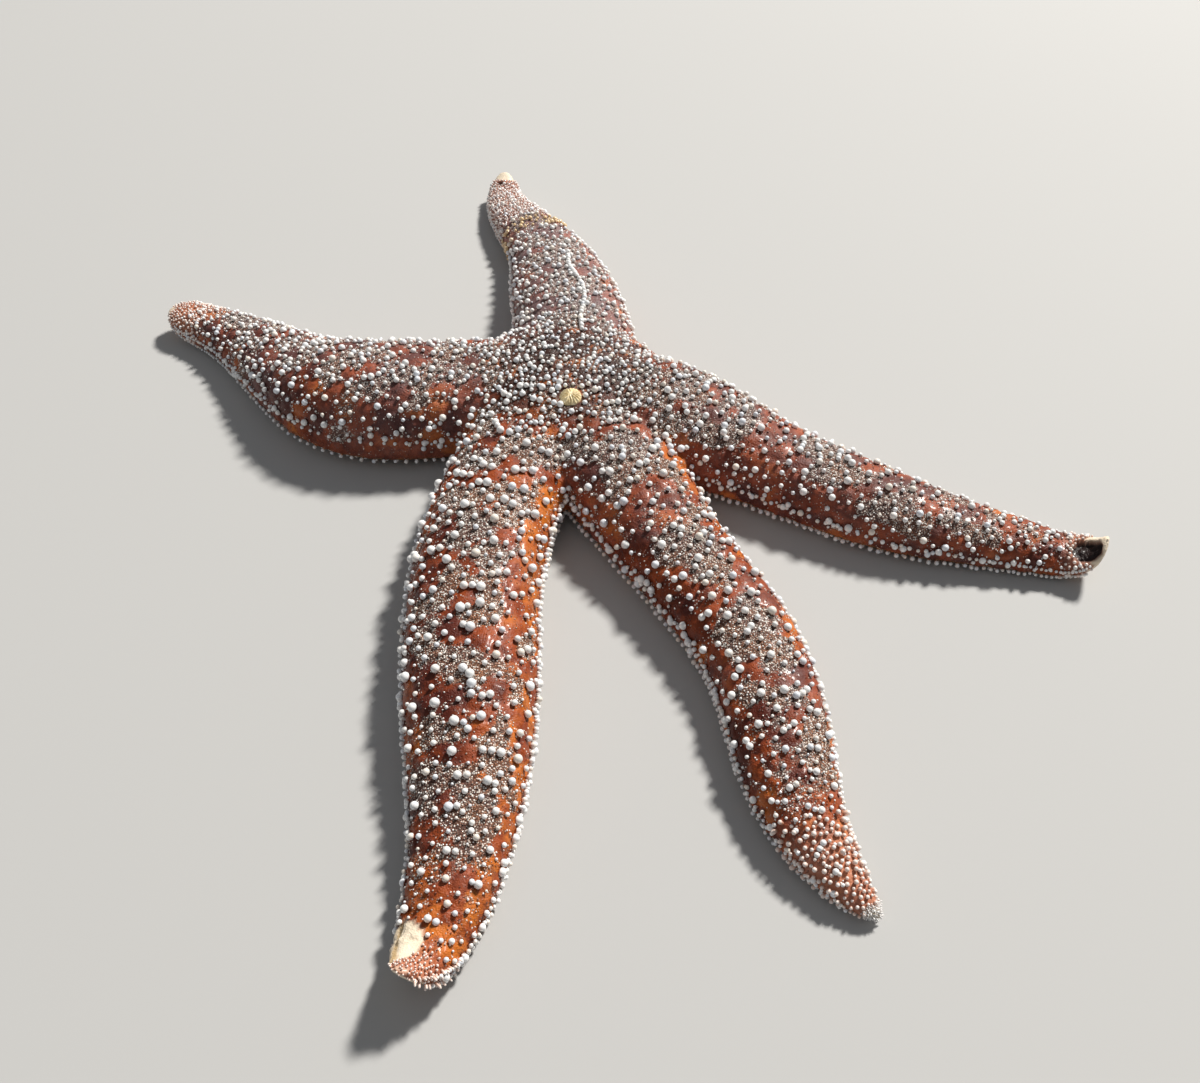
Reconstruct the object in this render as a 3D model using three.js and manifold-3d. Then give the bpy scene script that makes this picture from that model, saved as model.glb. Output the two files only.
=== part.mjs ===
// A five-armed sea star lying on its mouth side, at life size. Millimetres, +Z up.
// The disc's centre starts at the origin, with two arms towards -Y, and the finished group is then
// moved so that the origin is the middle of its footprint.
import * as THREE from 'three';
import { mergeVertices } from 'three/addons/utils/BufferGeometryUtils.js';
import Module from 'manifold-3d';

// Driving dimensions. Every surface is the envelope of the spine tips, not the bare skin.

// Arms, anticlockwise from the near left one. A bearing is the heading in degrees from +X, and bearings
// and widths are given at even steps from the disc's centre to the tip. The curl, in degrees, is how
// steeply the tip lifts.
const ARMS = [
  {
    name: 'near_left',
    length: 148,
    bearings: [-120, -103, -87, -91, -122],
    widths: [32, 29, 28, 26, 18.4, 7.5],
    curl: 95,
  },
  {
    name: 'near_right',
    length: 138,
    bearings: [-62, -64, -62, -85, -46],
    widths: [30, 29.5, 24, 21.5, 18, 5],
    curl: 8,
  },
  {
    name: 'right',
    length: 131,
    bearings: [-8, -29, -32, -16, -25],
    widths: [32, 33, 25, 22, 15, 8],
    curl: 125,
  },
  {
    name: 'far',
    length: 124,
    bearings: [77, 97, 103, 115, 83],
    widths: [32, 32, 29, 22, 15.5, 7],
    curl: 80,
  },
  {
    name: 'left',
    length: 121,
    bearings: [166, 187, 143, 139, 168],
    widths: [32, 34, 34, 25, 17, 11],
    curl: 55,
  },
];
const ARM_HEIGHT = 0.6; // height over width
const CURL_START = 0.86; // share of an arm's length where its tip begins to lift
const CURL_POWER = 1.6; // how much more of the lift comes near the end
const DOME_START = 0.94; // share where the rounded end begins
const DOME_END_WIDTH = 0.12; // width of the last ring, as a share of the width there
const LENGTH_CUTS = [0.5, 0.93]; // where an arm is parted into inner length, outer length and tip

// Cross-section of an arm and of the disc's rim.
const WIDEST_LEVEL = 0.3; // level of the widest point over the height
const FOOT_SPREAD = 0.66; // half width of the flat underside over the half width
const FLANK_POWER = 0.9;
const CROWN_POWER = 0.85;

// Warts that the clustered spines make on the upper side, one at every other point of the mesh.
const WART_HEIGHT = 0.055; // over the height of the arm or disc

// Groove of the tube feet along the underside of each arm, and the mouth where the grooves meet.
const GROOVE_WIDTH = 0.3; // over the arm's width
const GROOVE_DEPTH = 0.28; // over the arm's height
const GROOVE_CEILING = 0.45; // width of its ceiling over its width
const GROOVE_END = 0.955; // share of the arm's length where it closes
const MOUTH_RADIUS = 7;
const MOUTH_DEPTH = 6;
const MOUTH_TAPER = 1; // how much narrower the mouth's hollow is at its roof

// Disc, madreporite and the membrane round the mouth.
const DISC_RADIUS = 28;
const DISC_HEIGHT = 20.5;
const SIEVE_PLACE = { radius: 12.2, bearing: -81 }; // the madreporite, between the two near arms
const SIEVE_RADIUS = 2.7;
const SIEVE_THICKNESS = 2.2;
const SIEVE_CROWN = 0.9; // how much of its thickness is the rounded crown
const SIEVE_SINK = 0.7; // how far its crown lies below the spine tips
const MEMBRANE_RADIUS = 5.6;
const MEMBRANE_HOLE = 1.5;
const MEMBRANE_THICKNESS = 2.6;

const GAP = 0.3; // clearance between neighbouring pieces

// Fineness of the meshes.
const RINGS_PER_ARM = 32;
const LEAST_SPACING = 0.35; // of a ring from a cut, over the usual spacing of rings
const UPPER_SPANS = 12; // spans over the upper side of a ring
const DOME_RINGS = 6;
const SPINE_STEPS = 96; // steps of the arms' centre lines
const DISC_SEGMENTS = 36;
const DISC_RINGS = 6;
const SMALL_SEGMENTS = 16; // round the madreporite
const MOUTH_SEGMENTS = 24;
const CROWN_STEPS = 3; // over the madreporite's crown, and over each side of the membrane

const SKIN = { color: 0x9a4a2b, roughness: 0.45, metalness: 0 };
const TIP_SKIN = { color: 0xc9a58c, roughness: 0.5, metalness: 0 };
const SIEVE_PLATE = { color: 0xd9c391, roughness: 0.55, metalness: 0 };
const MEMBRANE = { color: 0xc98f6d, roughness: 0.4, metalness: 0 };

const wasm = await Module();
wasm.setup();

/** Catmull-Rom curve through evenly spaced values, at a share from 0 to 1 of their row. */
function along(values, share) {
  const last = values.length - 1;
  const x = THREE.MathUtils.clamp(share * last, 0, last - 1e-9);
  const i = Math.floor(x);
  const f = x - i;
  const b = values[i];
  const c = values[i + 1];
  const a = i > 0 ? values[i - 1] : 2 * b - c;
  const d = i + 2 <= last ? values[i + 2] : 2 * c - b;
  return b + 0.5 * f * (c - a + f * (2 * a - 5 * b + 4 * c - d + f * (3 * (b - c) + d - a)));
}

/** Directions at a share of an arm's length: outwards, across to its left, and up from its back. */
function armAxes(arm, share) {
  const turn = THREE.MathUtils.degToRad(along(arm.bearings, share));
  const lifted = Math.max(0, (share - CURL_START) / (1 - CURL_START)) ** CURL_POWER;
  const rise = THREE.MathUtils.degToRad(arm.curl) * lifted;
  const level = new THREE.Vector3(Math.cos(turn), Math.sin(turn), 0);
  const out = level.clone().multiplyScalar(Math.cos(rise)).setZ(Math.sin(rise));
  const across = new THREE.Vector3(-level.y, level.x, 0);
  return { out, across, up: new THREE.Vector3().crossVectors(out, across) };
}

/** An arm's centre line on the floor, from the disc's centre to the tip. */
function centreLine(arm) {
  const step = arm.length / SPINE_STEPS;
  const points = [new THREE.Vector3()];
  for (let i = 0; i < SPINE_STEPS; i += 1) {
    const middle = armAxes(arm, (i + 0.5) / SPINE_STEPS).out;
    points.push(points[i].clone().addScaledVector(middle, step));
  }
  return points;
}

/** Point of a centre line at a share of its length. */
function pointAt(line, share) {
  const x = Math.min(share * SPINE_STEPS, SPINE_STEPS - 1e-9);
  const i = Math.floor(x);
  return line[i].clone().lerp(line[i + 1], x - i);
}

/** Width of an arm at a share of its length, closing to a round end. */
function armWidth(arm, share) {
  const reach = THREE.MathUtils.clamp((share - DOME_START) / (1 - DOME_START), 0, 1);
  return along(arm.widths, share) * Math.max(Math.sqrt(1 - reach * reach), DOME_END_WIDTH);
}

/** Half outline from the widest level up over the crown, for a half width and a height. */
function upperOutline(angle, halfWidth, height) {
  const side = Math.cos(angle);
  const base = WIDEST_LEVEL * height;
  return {
    x: halfWidth * Math.sign(side) * Math.abs(side) ** FLANK_POWER,
    z: base + (height - base) * Math.max(Math.sin(angle), 0) ** CROWN_POWER,
  };
}

/** How far a point of the upper side lies below the tops of the warts, over the height there. */
function wartDip(row, column, relief) {
  const side = (row + column) % 2 === 0 ? -1 : 1;
  return (WART_HEIGHT * (1 + side * relief)) / 2;
}

/** Ring of points round an arm, as one row of its warts with a relief from 0 to 1. */
function armRing(arm, line, { share, row, relief }) {
  const { across, up } = armAxes(arm, share);
  const origin = pointAt(line, share);
  const width = armWidth(arm, share);
  const height = ARM_HEIGHT * width;
  const outline = [];
  for (let j = 0; j <= UPPER_SPANS; j += 1) {
    const dip = height * wartDip(row, j, relief);
    outline.push(upperOutline((Math.PI * j) / UPPER_SPANS, width / 2 - dip, height - dip));
  }
  outline.push({ x: (-FOOT_SPREAD * width) / 2, z: 0 }, { x: (FOOT_SPREAD * width) / 2, z: 0 });
  return outline.map(({ x, z }) => origin.clone().addScaledVector(across, x).addScaledVector(up, z));
}

/**
 * Closed skin through rings of points that run anticlockwise as seen from the last ring's side. Its
 * four-sided cells are split along one diagonal and the other by turns, so that warts stand alone.
 */
function loft(rings, firstRow = 0) {
  const size = rings[0].length;
  const middle = (ring) => ring.reduce((sum, p) => sum.add(p), new THREE.Vector3()).divideScalar(size);
  const points = [...rings.flat(), middle(rings[0]), middle(rings.at(-1))];
  const [first, last] = [points.length - 2, points.length - 1];
  const faces = [];
  for (let j = 0; j < size; j += 1) {
    const next = (j + 1) % size;
    for (let i = 0; i + 1 < rings.length; i += 1) {
      const [a, b, c, d] = [i * size + j, i * size + next, (i + 1) * size + next, (i + 1) * size + j];
      if ((firstRow + i + j) % 2 === 0) faces.push(a, b, d, b, c, d);
      else faces.push(a, b, c, a, c, d);
    }
    const end = (rings.length - 1) * size;
    faces.push(first, next, j, last, end + j, end + next);
  }
  const geometry = new THREE.BufferGeometry().setFromPoints(points);
  geometry.setIndex(faces);
  return geometry;
}

/** Solid of a closed geometry, turned right side out. */
function solidOf(geometry) {
  const bare = geometry.clone();
  bare.deleteAttribute('normal');
  bare.deleteAttribute('uv');
  const merged = mergeVertices(bare, 1e-4);
  const corners = merged.index.array;
  const faces = [];
  for (let i = 0; i < corners.length; i += 3) {
    const [a, b, c] = corners.slice(i, i + 3);
    if (a !== b && b !== c && c !== a) faces.push(a, b, c);
  }
  const build = (list) =>
    new wasm.Manifold(
      new wasm.Mesh({
        numProp: 3,
        vertProperties: Float32Array.from(merged.attributes.position.array),
        triVerts: Uint32Array.from(list),
      }),
    );
  const solid = build(faces);
  return solid.volume() > 0 ? solid : build(faces.reverse());
}

/** Named mesh of a solid, in one plain finish. */
function piece(name, solid, finish) {
  const { numProp, vertProperties, triVerts } = solid.getMesh();
  const position = new Float32Array((vertProperties.length / numProp) * 3);
  for (let i = 0; i * numProp < vertProperties.length; i += 1) {
    position.set(vertProperties.subarray(i * numProp, i * numProp + 3), i * 3);
  }
  const geometry = new THREE.BufferGeometry();
  geometry.setAttribute('position', new THREE.BufferAttribute(position, 3));
  geometry.setIndex(new THREE.BufferAttribute(Uint32Array.from(triVerts), 1));
  const mesh = new THREE.Mesh(geometry, new THREE.MeshStandardMaterial(finish));
  mesh.name = name;
  return mesh;
}

/** Solid turned about a vertical axis. Its [radius, height] pairs end on the axis or close on themselves. */
function turned(profile, segments, centre = new THREE.Vector3()) {
  const points = profile.map(([r, z]) => new THREE.Vector2(r, z));
  const geometry = new THREE.LatheGeometry(points, segments);
  geometry.rotateX(Math.PI / 2);
  geometry.translate(centre.x, centre.y, centre.z);
  return solidOf(geometry);
}

/** Places of an arm's rings between two cuts. Rings at a cut and on the round end have no warts. */
function ringPlaces(from, to) {
  const margin = LEAST_SPACING / RINGS_PER_ARM;
  const firstRow = Math.floor((from + margin) * RINGS_PER_ARM);
  const places = [{ share: from, relief: 0 }];
  for (let k = firstRow + 1; k / RINGS_PER_ARM < Math.min(to, DOME_START) - margin; k += 1) {
    places.push({ share: k / RINGS_PER_ARM, relief: 1 });
  }
  if (to < 1) places.push({ share: to, relief: 0 });
  for (let k = 0; to === 1 && k <= DOME_RINGS; k += 1) {
    const reach = Math.sin((Math.PI * k) / (2 * DOME_RINGS));
    places.push({ share: DOME_START + (1 - DOME_START) * reach, relief: 0 });
  }
  return places.map((place, i) => ({ ...place, row: firstRow + i }));
}

/** Length of an arm between two shares, without its groove. */
function armLength(arm, line, from, to) {
  const places = ringPlaces(from, to);
  return solidOf(loft(places.map((place) => armRing(arm, line, place)), places[0].row));
}

/** Space of an arm's groove, open below the floor. */
function armGroove(arm, line) {
  const rings = [];
  for (let k = 0; k <= RINGS_PER_ARM; k += 1) {
    const share = (GROOVE_END * k) / RINGS_PER_ARM;
    const { across, up } = armAxes(arm, share);
    const origin = pointAt(line, share);
    const half = (armWidth(arm, share) * GROOVE_WIDTH) / 2;
    const depth = armWidth(arm, share) * ARM_HEIGHT * GROOVE_DEPTH;
    const ceiling = half * GROOVE_CEILING;
    const outline = [[half, 0], [ceiling, depth], [-ceiling, depth], [-half, 0], [-half, -1], [half, -1]];
    rings.push(outline.map(([x, z]) => origin.clone().addScaledVector(across, x).addScaledVector(up, z)));
  }
  return solidOf(loft(rings));
}

/** Domed middle of the animal, with the same section and warts as the arms. */
function discDome() {
  const rings = [];
  for (let k = 0; k < DISC_RINGS; k += 1) {
    const ring = [];
    const angle = (Math.PI * k) / (2 * DISC_RINGS);
    for (let j = 0; j < DISC_SEGMENTS; j += 1) {
      const dip = DISC_HEIGHT * wartDip(k, j, k > 0 ? Math.cos(angle) : 0);
      const { x, z } = upperOutline(angle, DISC_RADIUS - dip, DISC_HEIGHT - dip);
      const turn = (2 * Math.PI * j) / DISC_SEGMENTS;
      ring.push(new THREE.Vector3(x * Math.cos(turn), x * Math.sin(turn), z));
    }
    rings.push(ring);
  }
  const foot = rings[0].map((p) => new THREE.Vector3(p.x * FOOT_SPREAD, p.y * FOOT_SPREAD, 0));
  return solidOf(loft([foot, ...rings], -1));
}

/** Upright cylinder about the disc's centre. */
function drum(radius) {
  const tall = 3 * DISC_HEIGHT;
  return turned([[0, -tall], [radius, -tall], [radius, tall], [0, tall]], DISC_SEGMENTS);
}

/** Everything left (side 1) or right (side -1) of a line from the disc's centre, with half a gap more. */
function beside(direction, side) {
  const size = 4 * DISC_RADIUS;
  const box = new THREE.BoxGeometry(size, size, size);
  box.translate(size / 2, side * (size / 2 - GAP / 2), 0);
  box.rotateZ(direction);
  return solidOf(box);
}

/** Direction from the disc's centre, in radians, of a point of an arm at a share of its length. */
function directionOf(line, share) {
  const { x, y } = pointAt(line, share);
  return Math.atan2(y, x);
}

/** Middle direction between two directions, going anticlockwise from the first. */
function between(from, to) {
  const turn = THREE.MathUtils.euclideanModulo(to - from, 2 * Math.PI);
  return from + turn / 2;
}

const lines = ARMS.map(centreLine);
const grooves = ARMS.map((arm, i) => armGroove(arm, lines[i]));
const cuts = [0, ...LENGTH_CUTS, 1];
const rootShare = (DISC_RADIUS * 1.2) / Math.min(...ARMS.map((arm) => arm.length));
const starfish = new THREE.Group();

// Arms: each is parted from the disc by a round cut, from its neighbours by straight ones, and across
// its length by square ones.
const discCut = drum(DISC_RADIUS + GAP);
ARMS.forEach((arm, i) => {
  const line = lines[i];
  const here = directionOf(line, rootShare);
  const right = between(directionOf(lines.at(i - 1), rootShare), here);
  const left = between(here, directionOf(lines[(i + 1) % ARMS.length], rootShare));
  ['inner', 'outer', 'tip'].forEach((part, k) => {
    const from = cuts[k] + (k > 0 ? GAP / 2 / arm.length : 0);
    const to = cuts[k + 1] - (k < 2 ? GAP / 2 / arm.length : 0);
    let solid = armLength(arm, line, from, to).subtract(grooves[i]);
    if (k === 0) solid = solid.subtract(discCut).subtract(beside(right, -1)).subtract(beside(left, 1));
    starfish.add(piece(`arm_${arm.name}_${part}`, solid, part === 'tip' ? TIP_SKIN : SKIN));
  });
});

// Disc: the arms' roots and the dome as one body, with the grooves, the mouth and the seat of the
// madreporite cut out.
const mouthSpace = [
  [0, -1],
  [MOUTH_RADIUS, -1],
  [MOUTH_RADIUS, 0],
  [MOUTH_RADIUS - MOUTH_TAPER, MOUTH_DEPTH],
  [0, MOUTH_DEPTH],
];
const body = ARMS.map((arm, i) => armLength(arm, lines[i], cuts[0], cuts[1]))
  .reduce((whole, root) => whole.add(root), discDome())
  .intersect(drum(DISC_RADIUS));
const bearing = THREE.MathUtils.degToRad(SIEVE_PLACE.bearing);
const slope = Math.acos((SIEVE_PLACE.radius / DISC_RADIUS) ** (1 / FLANK_POWER));
const sieveTop = upperOutline(slope, DISC_RADIUS, DISC_HEIGHT).z - SIEVE_SINK;
const sieveFoot = sieveTop - SIEVE_THICKNESS;
const sieveCentre = new THREE.Vector3(Math.cos(bearing), Math.sin(bearing), 0);
sieveCentre.multiplyScalar(SIEVE_PLACE.radius);
const sieveSeat = [
  [0, sieveFoot - GAP],
  [SIEVE_RADIUS + GAP, sieveFoot - GAP],
  [SIEVE_RADIUS + GAP, 2 * DISC_HEIGHT],
  [0, 2 * DISC_HEIGHT],
];
const disc = grooves
  .reduce((rest, groove) => rest.subtract(groove), body)
  .subtract(turned(mouthSpace, MOUTH_SEGMENTS))
  .subtract(turned(sieveSeat, SMALL_SEGMENTS, sieveCentre));
starfish.add(piece('disc', disc, SKIN));

// Madreporite: a low button with a rounded crown.
const sieve = [[0, sieveFoot], [SIEVE_RADIUS, sieveFoot]];
for (let k = 0; k <= CROWN_STEPS; k += 1) {
  const angle = (Math.PI * k) / (2 * CROWN_STEPS);
  const radius = k === CROWN_STEPS ? 0 : SIEVE_RADIUS * Math.cos(angle);
  sieve.push([radius, sieveTop - SIEVE_CROWN * (1 - Math.sin(angle))]);
}
starfish.add(piece('madreporite', turned(sieve, SMALL_SEGMENTS, sieveCentre), SIEVE_PLATE));

// Mouth: a ring of soft membrane with a small opening, round below, under the roof of its hollow.
const membrane = [];
const membraneHalf = (MEMBRANE_RADIUS - MEMBRANE_HOLE) / 2;
for (let k = 0; k <= 2 * CROWN_STEPS; k += 1) {
  const angle = Math.PI + (Math.PI * k) / (2 * CROWN_STEPS);
  membrane.push([
    MEMBRANE_HOLE + membraneHalf * (1 + Math.cos(angle)),
    MOUTH_DEPTH - GAP + MEMBRANE_THICKNESS * Math.sin(angle),
  ]);
}
membrane.push(membrane[0]);
starfish.add(piece('mouth', turned(membrane, MOUTH_SEGMENTS), MEMBRANE));

// The origin goes to the middle of the footprint, at floor level.
const bounds = new THREE.Box3().setFromObject(starfish);
const middle = bounds.getCenter(new THREE.Vector3());
starfish.position.set(-middle.x, -middle.y, -bounds.min.z);

export default starfish;
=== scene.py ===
"""Finished model of a five-armed sea star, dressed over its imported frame.

One skin covers the whole animal. Over it stand its spines, grains and tube feet, the madreporite and
the mouth, each as pieces of its own. Lengths are metres unless a name ends in _mm.
"""

import logging
import math
from dataclasses import dataclass, field
from enum import Enum
from itertools import product

import bmesh
import bpy
import numpy as np
from mathutils import Matrix, Vector, kdtree, noise
from mathutils.bvhtree import BVHTree


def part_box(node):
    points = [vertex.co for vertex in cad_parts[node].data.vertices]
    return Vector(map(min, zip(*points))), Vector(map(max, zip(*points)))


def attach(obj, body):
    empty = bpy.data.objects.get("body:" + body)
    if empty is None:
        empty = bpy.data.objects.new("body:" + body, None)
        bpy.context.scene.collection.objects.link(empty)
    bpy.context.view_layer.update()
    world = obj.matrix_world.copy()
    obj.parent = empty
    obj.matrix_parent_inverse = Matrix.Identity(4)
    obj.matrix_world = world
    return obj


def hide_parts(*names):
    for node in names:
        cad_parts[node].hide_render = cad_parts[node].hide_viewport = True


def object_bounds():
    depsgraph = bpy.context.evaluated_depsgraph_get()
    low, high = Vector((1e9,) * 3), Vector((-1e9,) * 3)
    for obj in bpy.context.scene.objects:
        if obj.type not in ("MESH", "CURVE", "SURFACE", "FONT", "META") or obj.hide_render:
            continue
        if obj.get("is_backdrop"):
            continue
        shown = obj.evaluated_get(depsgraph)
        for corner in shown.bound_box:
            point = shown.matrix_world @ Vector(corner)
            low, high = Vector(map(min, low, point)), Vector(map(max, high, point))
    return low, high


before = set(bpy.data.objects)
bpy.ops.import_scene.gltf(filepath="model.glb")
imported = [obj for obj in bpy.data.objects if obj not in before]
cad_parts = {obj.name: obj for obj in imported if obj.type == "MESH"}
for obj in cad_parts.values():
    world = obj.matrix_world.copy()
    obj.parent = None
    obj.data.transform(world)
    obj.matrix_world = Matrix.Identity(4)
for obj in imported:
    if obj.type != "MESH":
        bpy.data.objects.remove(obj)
CAD_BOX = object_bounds()

LOG = logging.getLogger("starfish")
BODY = "root"
MM = 0.001
UV_NAME = "OFBake"
SKIN_SEED = 5
COAT_SEED = 11
PATCH = 0.003
"""Side of the map patch that each spine, grain or foot has."""
Entry = tuple[float, float, float, float]
"""Place of something that stands on the skin, and the diameter of the room that it needs."""
Profile = list[tuple[float, float]]
"""Radius and height of each point of a profile."""

# Shape of the arms and disc, as in the frame.
ARM_HEIGHT = 0.6
WIDEST_LEVEL = 0.3
FLANK_POWER = 0.9
CROWN_POWER = 0.85
CURL_START = 0.86
CURL_POWER = 1.6
DOME_START = 0.94
DOME_END_WIDTH = 0.12
LINE_STEPS = 96
CORE_LEVEL = 0.4
PLACE_ROUNDS = 2
DISC_RADIUS = 28 * MM
DISC_HEIGHT = 20.5 * MM
GROOVE_WIDTH = 0.3
GROOVE_DEPTH = 0.27
GROOVE_CEILING = 0.5
GROOVE_END = 0.955
MOUTH_RADIUS = 6.8 * MM
MOUTH_DEPTH = 5.4 * MM

# Skin under the coat of spines.
SOLE_POWER = 0.38
BILGE_POWER = 0.72
COAT_DEPTH = 1.5 * MM
COAT_SHARE = 0.08
SIDE_COAT = 0.75
SOLE_CLEARANCE = 0.8 * MM

# Rules for what stands on the skin.
REACH = 3 * MM
EDGE_REACH = 0.9 * MM
BARE_LIMIT = 0.3
CHART_START = 0.02
CHART_SIZE = 0.96


class Mark(Enum):
    """Numbers painted on the skin, which its coat repeats at each root."""

    RIDGE = "ridge"
    TONE = "tone"
    GRAIN = "grain"
    # Painted sunlight: how much a flank faces the sunlit direction.
    GLOW = "glow"
    SOLE = "sole"
    TIP = "tip"
    # Greyish-lavender cast: partly real tone, partly painted glare haze.
    DUST = "dust"
    DISC = "disc"
    BARE = "bare"
    FURROW = "furrow"
    WARM = "warm"
    # Dents at the curled ends, painted near-black as shade.
    HOLLOW = "hollow"
    GRIT = "grit"


class Slot(Enum):
    """Names of material slots."""

    SKIN = "skin"
    TIP = "tip_skin"
    SIEVE = "sieve_plate"
    MEMBRANE = "membrane"


def smooth(low: float, high: float, value: np.ndarray) -> np.ndarray:
    """Rises smoothly from 0 at low to 1 at high, which may be under low."""
    t = np.clip((value - low) / (high - low), 0.0, 1.0)
    return t * t * (3.0 - 2.0 * t)


def along(values: tuple[float, ...], share: np.ndarray) -> np.ndarray:
    """Follows a Catmull-Rom curve through evenly spaced values.

    Args:
        values: The values.
        share: Places on their row, from 0 to 1.

    Returns:
        The curve's value at each place.
    """
    row = np.asarray(values, float)
    last = len(row) - 1
    x = np.clip(np.asarray(share, float) * last, 0.0, last - 1e-9)
    i = np.floor(x).astype(int)
    f = x - i
    ends = np.concatenate([[2 * row[0] - row[1]], row, [2 * row[-1] - row[-2]]])
    a, b, c, d = ends[i], ends[i + 1], ends[i + 2], ends[i + 3]
    return b + 0.5 * f * (c - a + f * (2 * a - 5 * b + 4 * c - d + f * (3 * (b - c) + d - a)))


def lumps(points: np.ndarray, size: float, shift: float = 0.0) -> np.ndarray:
    """Samples noise with features of a size, from about -1 to 1. The shift makes two calls differ."""
    return np.array([noise.noise(Vector(p)) for p in points / size + shift])


def unit(vectors: np.ndarray) -> np.ndarray:
    """Gives vectors, one per row, a length of 1."""
    return vectors / np.maximum(np.linalg.norm(vectors, axis=-1, keepdims=True), 1e-12)


@dataclass(frozen=True)
class Spot:
    """Round region of an arm's skin: its middle's share and angle, and its radius."""

    share: float
    degrees: float
    radius_mm: float


@dataclass(frozen=True)
class TipPlan:
    """An arm's end.

    Its small spines crowd from one share of the length on, as round pearls or blunt fingers. Bare cream skin
    starts at one share below and at another all round, and may cover a spot. A furrow runs along the bare
    skin, a hollow dent painted near-black as shade may lie beside it, and a tuft of feelers may end it.
    """

    crowd_from: float
    crowd_mm: float
    bare_from: float
    cap_from: float
    wrap: float = 0.4
    pearls: bool = True
    furrow: float = 270.0
    # Spot of a dent that is painted near-black as shade.
    patch: Spot | None = None
    hollow: Spot | None = None
    tuft: bool = False


@dataclass(frozen=True)
class ArmPlan:
    """Sizes of one arm, in millimetres and degrees, and how its coat and colour differ."""

    name: str
    length_mm: float
    bearings: tuple[float, ...]
    widths_mm: tuple[float, ...]
    curl: float
    tip: TipPlan
    spine_size: float = 1.0
    spacing: float = 1.0
    # Greyish-lavender cast of the arm: partly real tone, partly painted glare haze.
    dust: float = 0.0
    # Strength of the painted sunlight that brightens the arm's sunlit flank.
    glow: float = 0.5
    keel: bool = False


ARM_PLANS = (
    ArmPlan(name="near_left", length_mm=148, curl=95, spacing=1.05, glow=0.8,
            bearings=(-120, -103, -87, -91, -122), widths_mm=(32, 29, 28, 26, 18.4, 7.5),
            tip=TipPlan(crowd_from=0.94, crowd_mm=0.27, bare_from=0.965, cap_from=0.997, wrap=0.1,
                        pearls=False, furrow=139, patch=Spot(0.953, 152, 4.2))),
    ArmPlan(name="near_right", length_mm=138, curl=8, spine_size=0.94, spacing=0.98, dust=0.03, glow=0.65,
            bearings=(-62, -64, -62, -85, -46), widths_mm=(30, 29.5, 24, 21.5, 18, 5),
            tip=TipPlan(crowd_from=0.87, crowd_mm=0.44, bare_from=0.98, cap_from=0.985, tuft=True)),
    ArmPlan(name="right", length_mm=131, curl=125, spine_size=0.9, spacing=0.92, dust=0.08, glow=0.45,
            bearings=(-8, -29, -32, -16, -25), widths_mm=(32, 33, 25, 22, 15, 8),
            tip=TipPlan(crowd_from=0.88, crowd_mm=0.36, bare_from=0.93, cap_from=0.952, wrap=0.1,
                        hollow=Spot(0.966, 112, 2.9))),
    ArmPlan(name="far", length_mm=124, curl=80, spine_size=0.8, spacing=0.8, dust=0.34, glow=0.3, keel=True,
            bearings=(77, 97, 103, 115, 83), widths_mm=(32, 32, 29, 22, 15.5, 7),
            tip=TipPlan(crowd_from=0.7, crowd_mm=0.33, bare_from=0.95, cap_from=0.968,
                        hollow=Spot(0.95, 78, 0.9))),
    ArmPlan(name="left", length_mm=121, curl=55, spine_size=0.86, spacing=0.88, dust=0.12, glow=0.35,
            bearings=(166, 187, 143, 139, 168), widths_mm=(32, 34, 34, 25, 17, 11),
            tip=TipPlan(crowd_from=0.86, crowd_mm=0.38, bare_from=0.985, cap_from=0.995)),
)


def section(angle: np.ndarray, half: np.ndarray, height: np.ndarray) -> tuple[np.ndarray, np.ndarray]:
    """Traces the closed section of an arm: a vaulted back on a flat sole.

    Args:
        angle: Angle round the section, from 0 at its left edge over the back to pi, then under the sole.
        half: Half width.
        height: Height.

    Returns:
        Distances to the left of the middle and above the sole.
    """
    cosine, sine = np.cos(angle), np.sin(angle)
    level = WIDEST_LEVEL * height
    over = level + (height - level) * np.clip(sine, 0, None) ** CROWN_POWER
    under = level - level * np.clip(-sine, 0, None) ** SOLE_POWER
    power = np.where(sine >= 0, FLANK_POWER, BILGE_POWER)
    return half * np.sign(cosine) * np.abs(cosine) ** power, np.where(sine >= 0, over, under)


@dataclass
class Places:
    """Where points lie on the body: the nearest arm, the share of its length and the way round it."""

    arm: np.ndarray
    share: np.ndarray
    left: np.ndarray
    up: np.ndarray
    angle: np.ndarray
    off: np.ndarray
    radius: np.ndarray

    def take(self, index: np.ndarray) -> "Places":
        """Places at the given indices."""
        return Places(**{name: value[index] for name, value in vars(self).items()})


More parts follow.
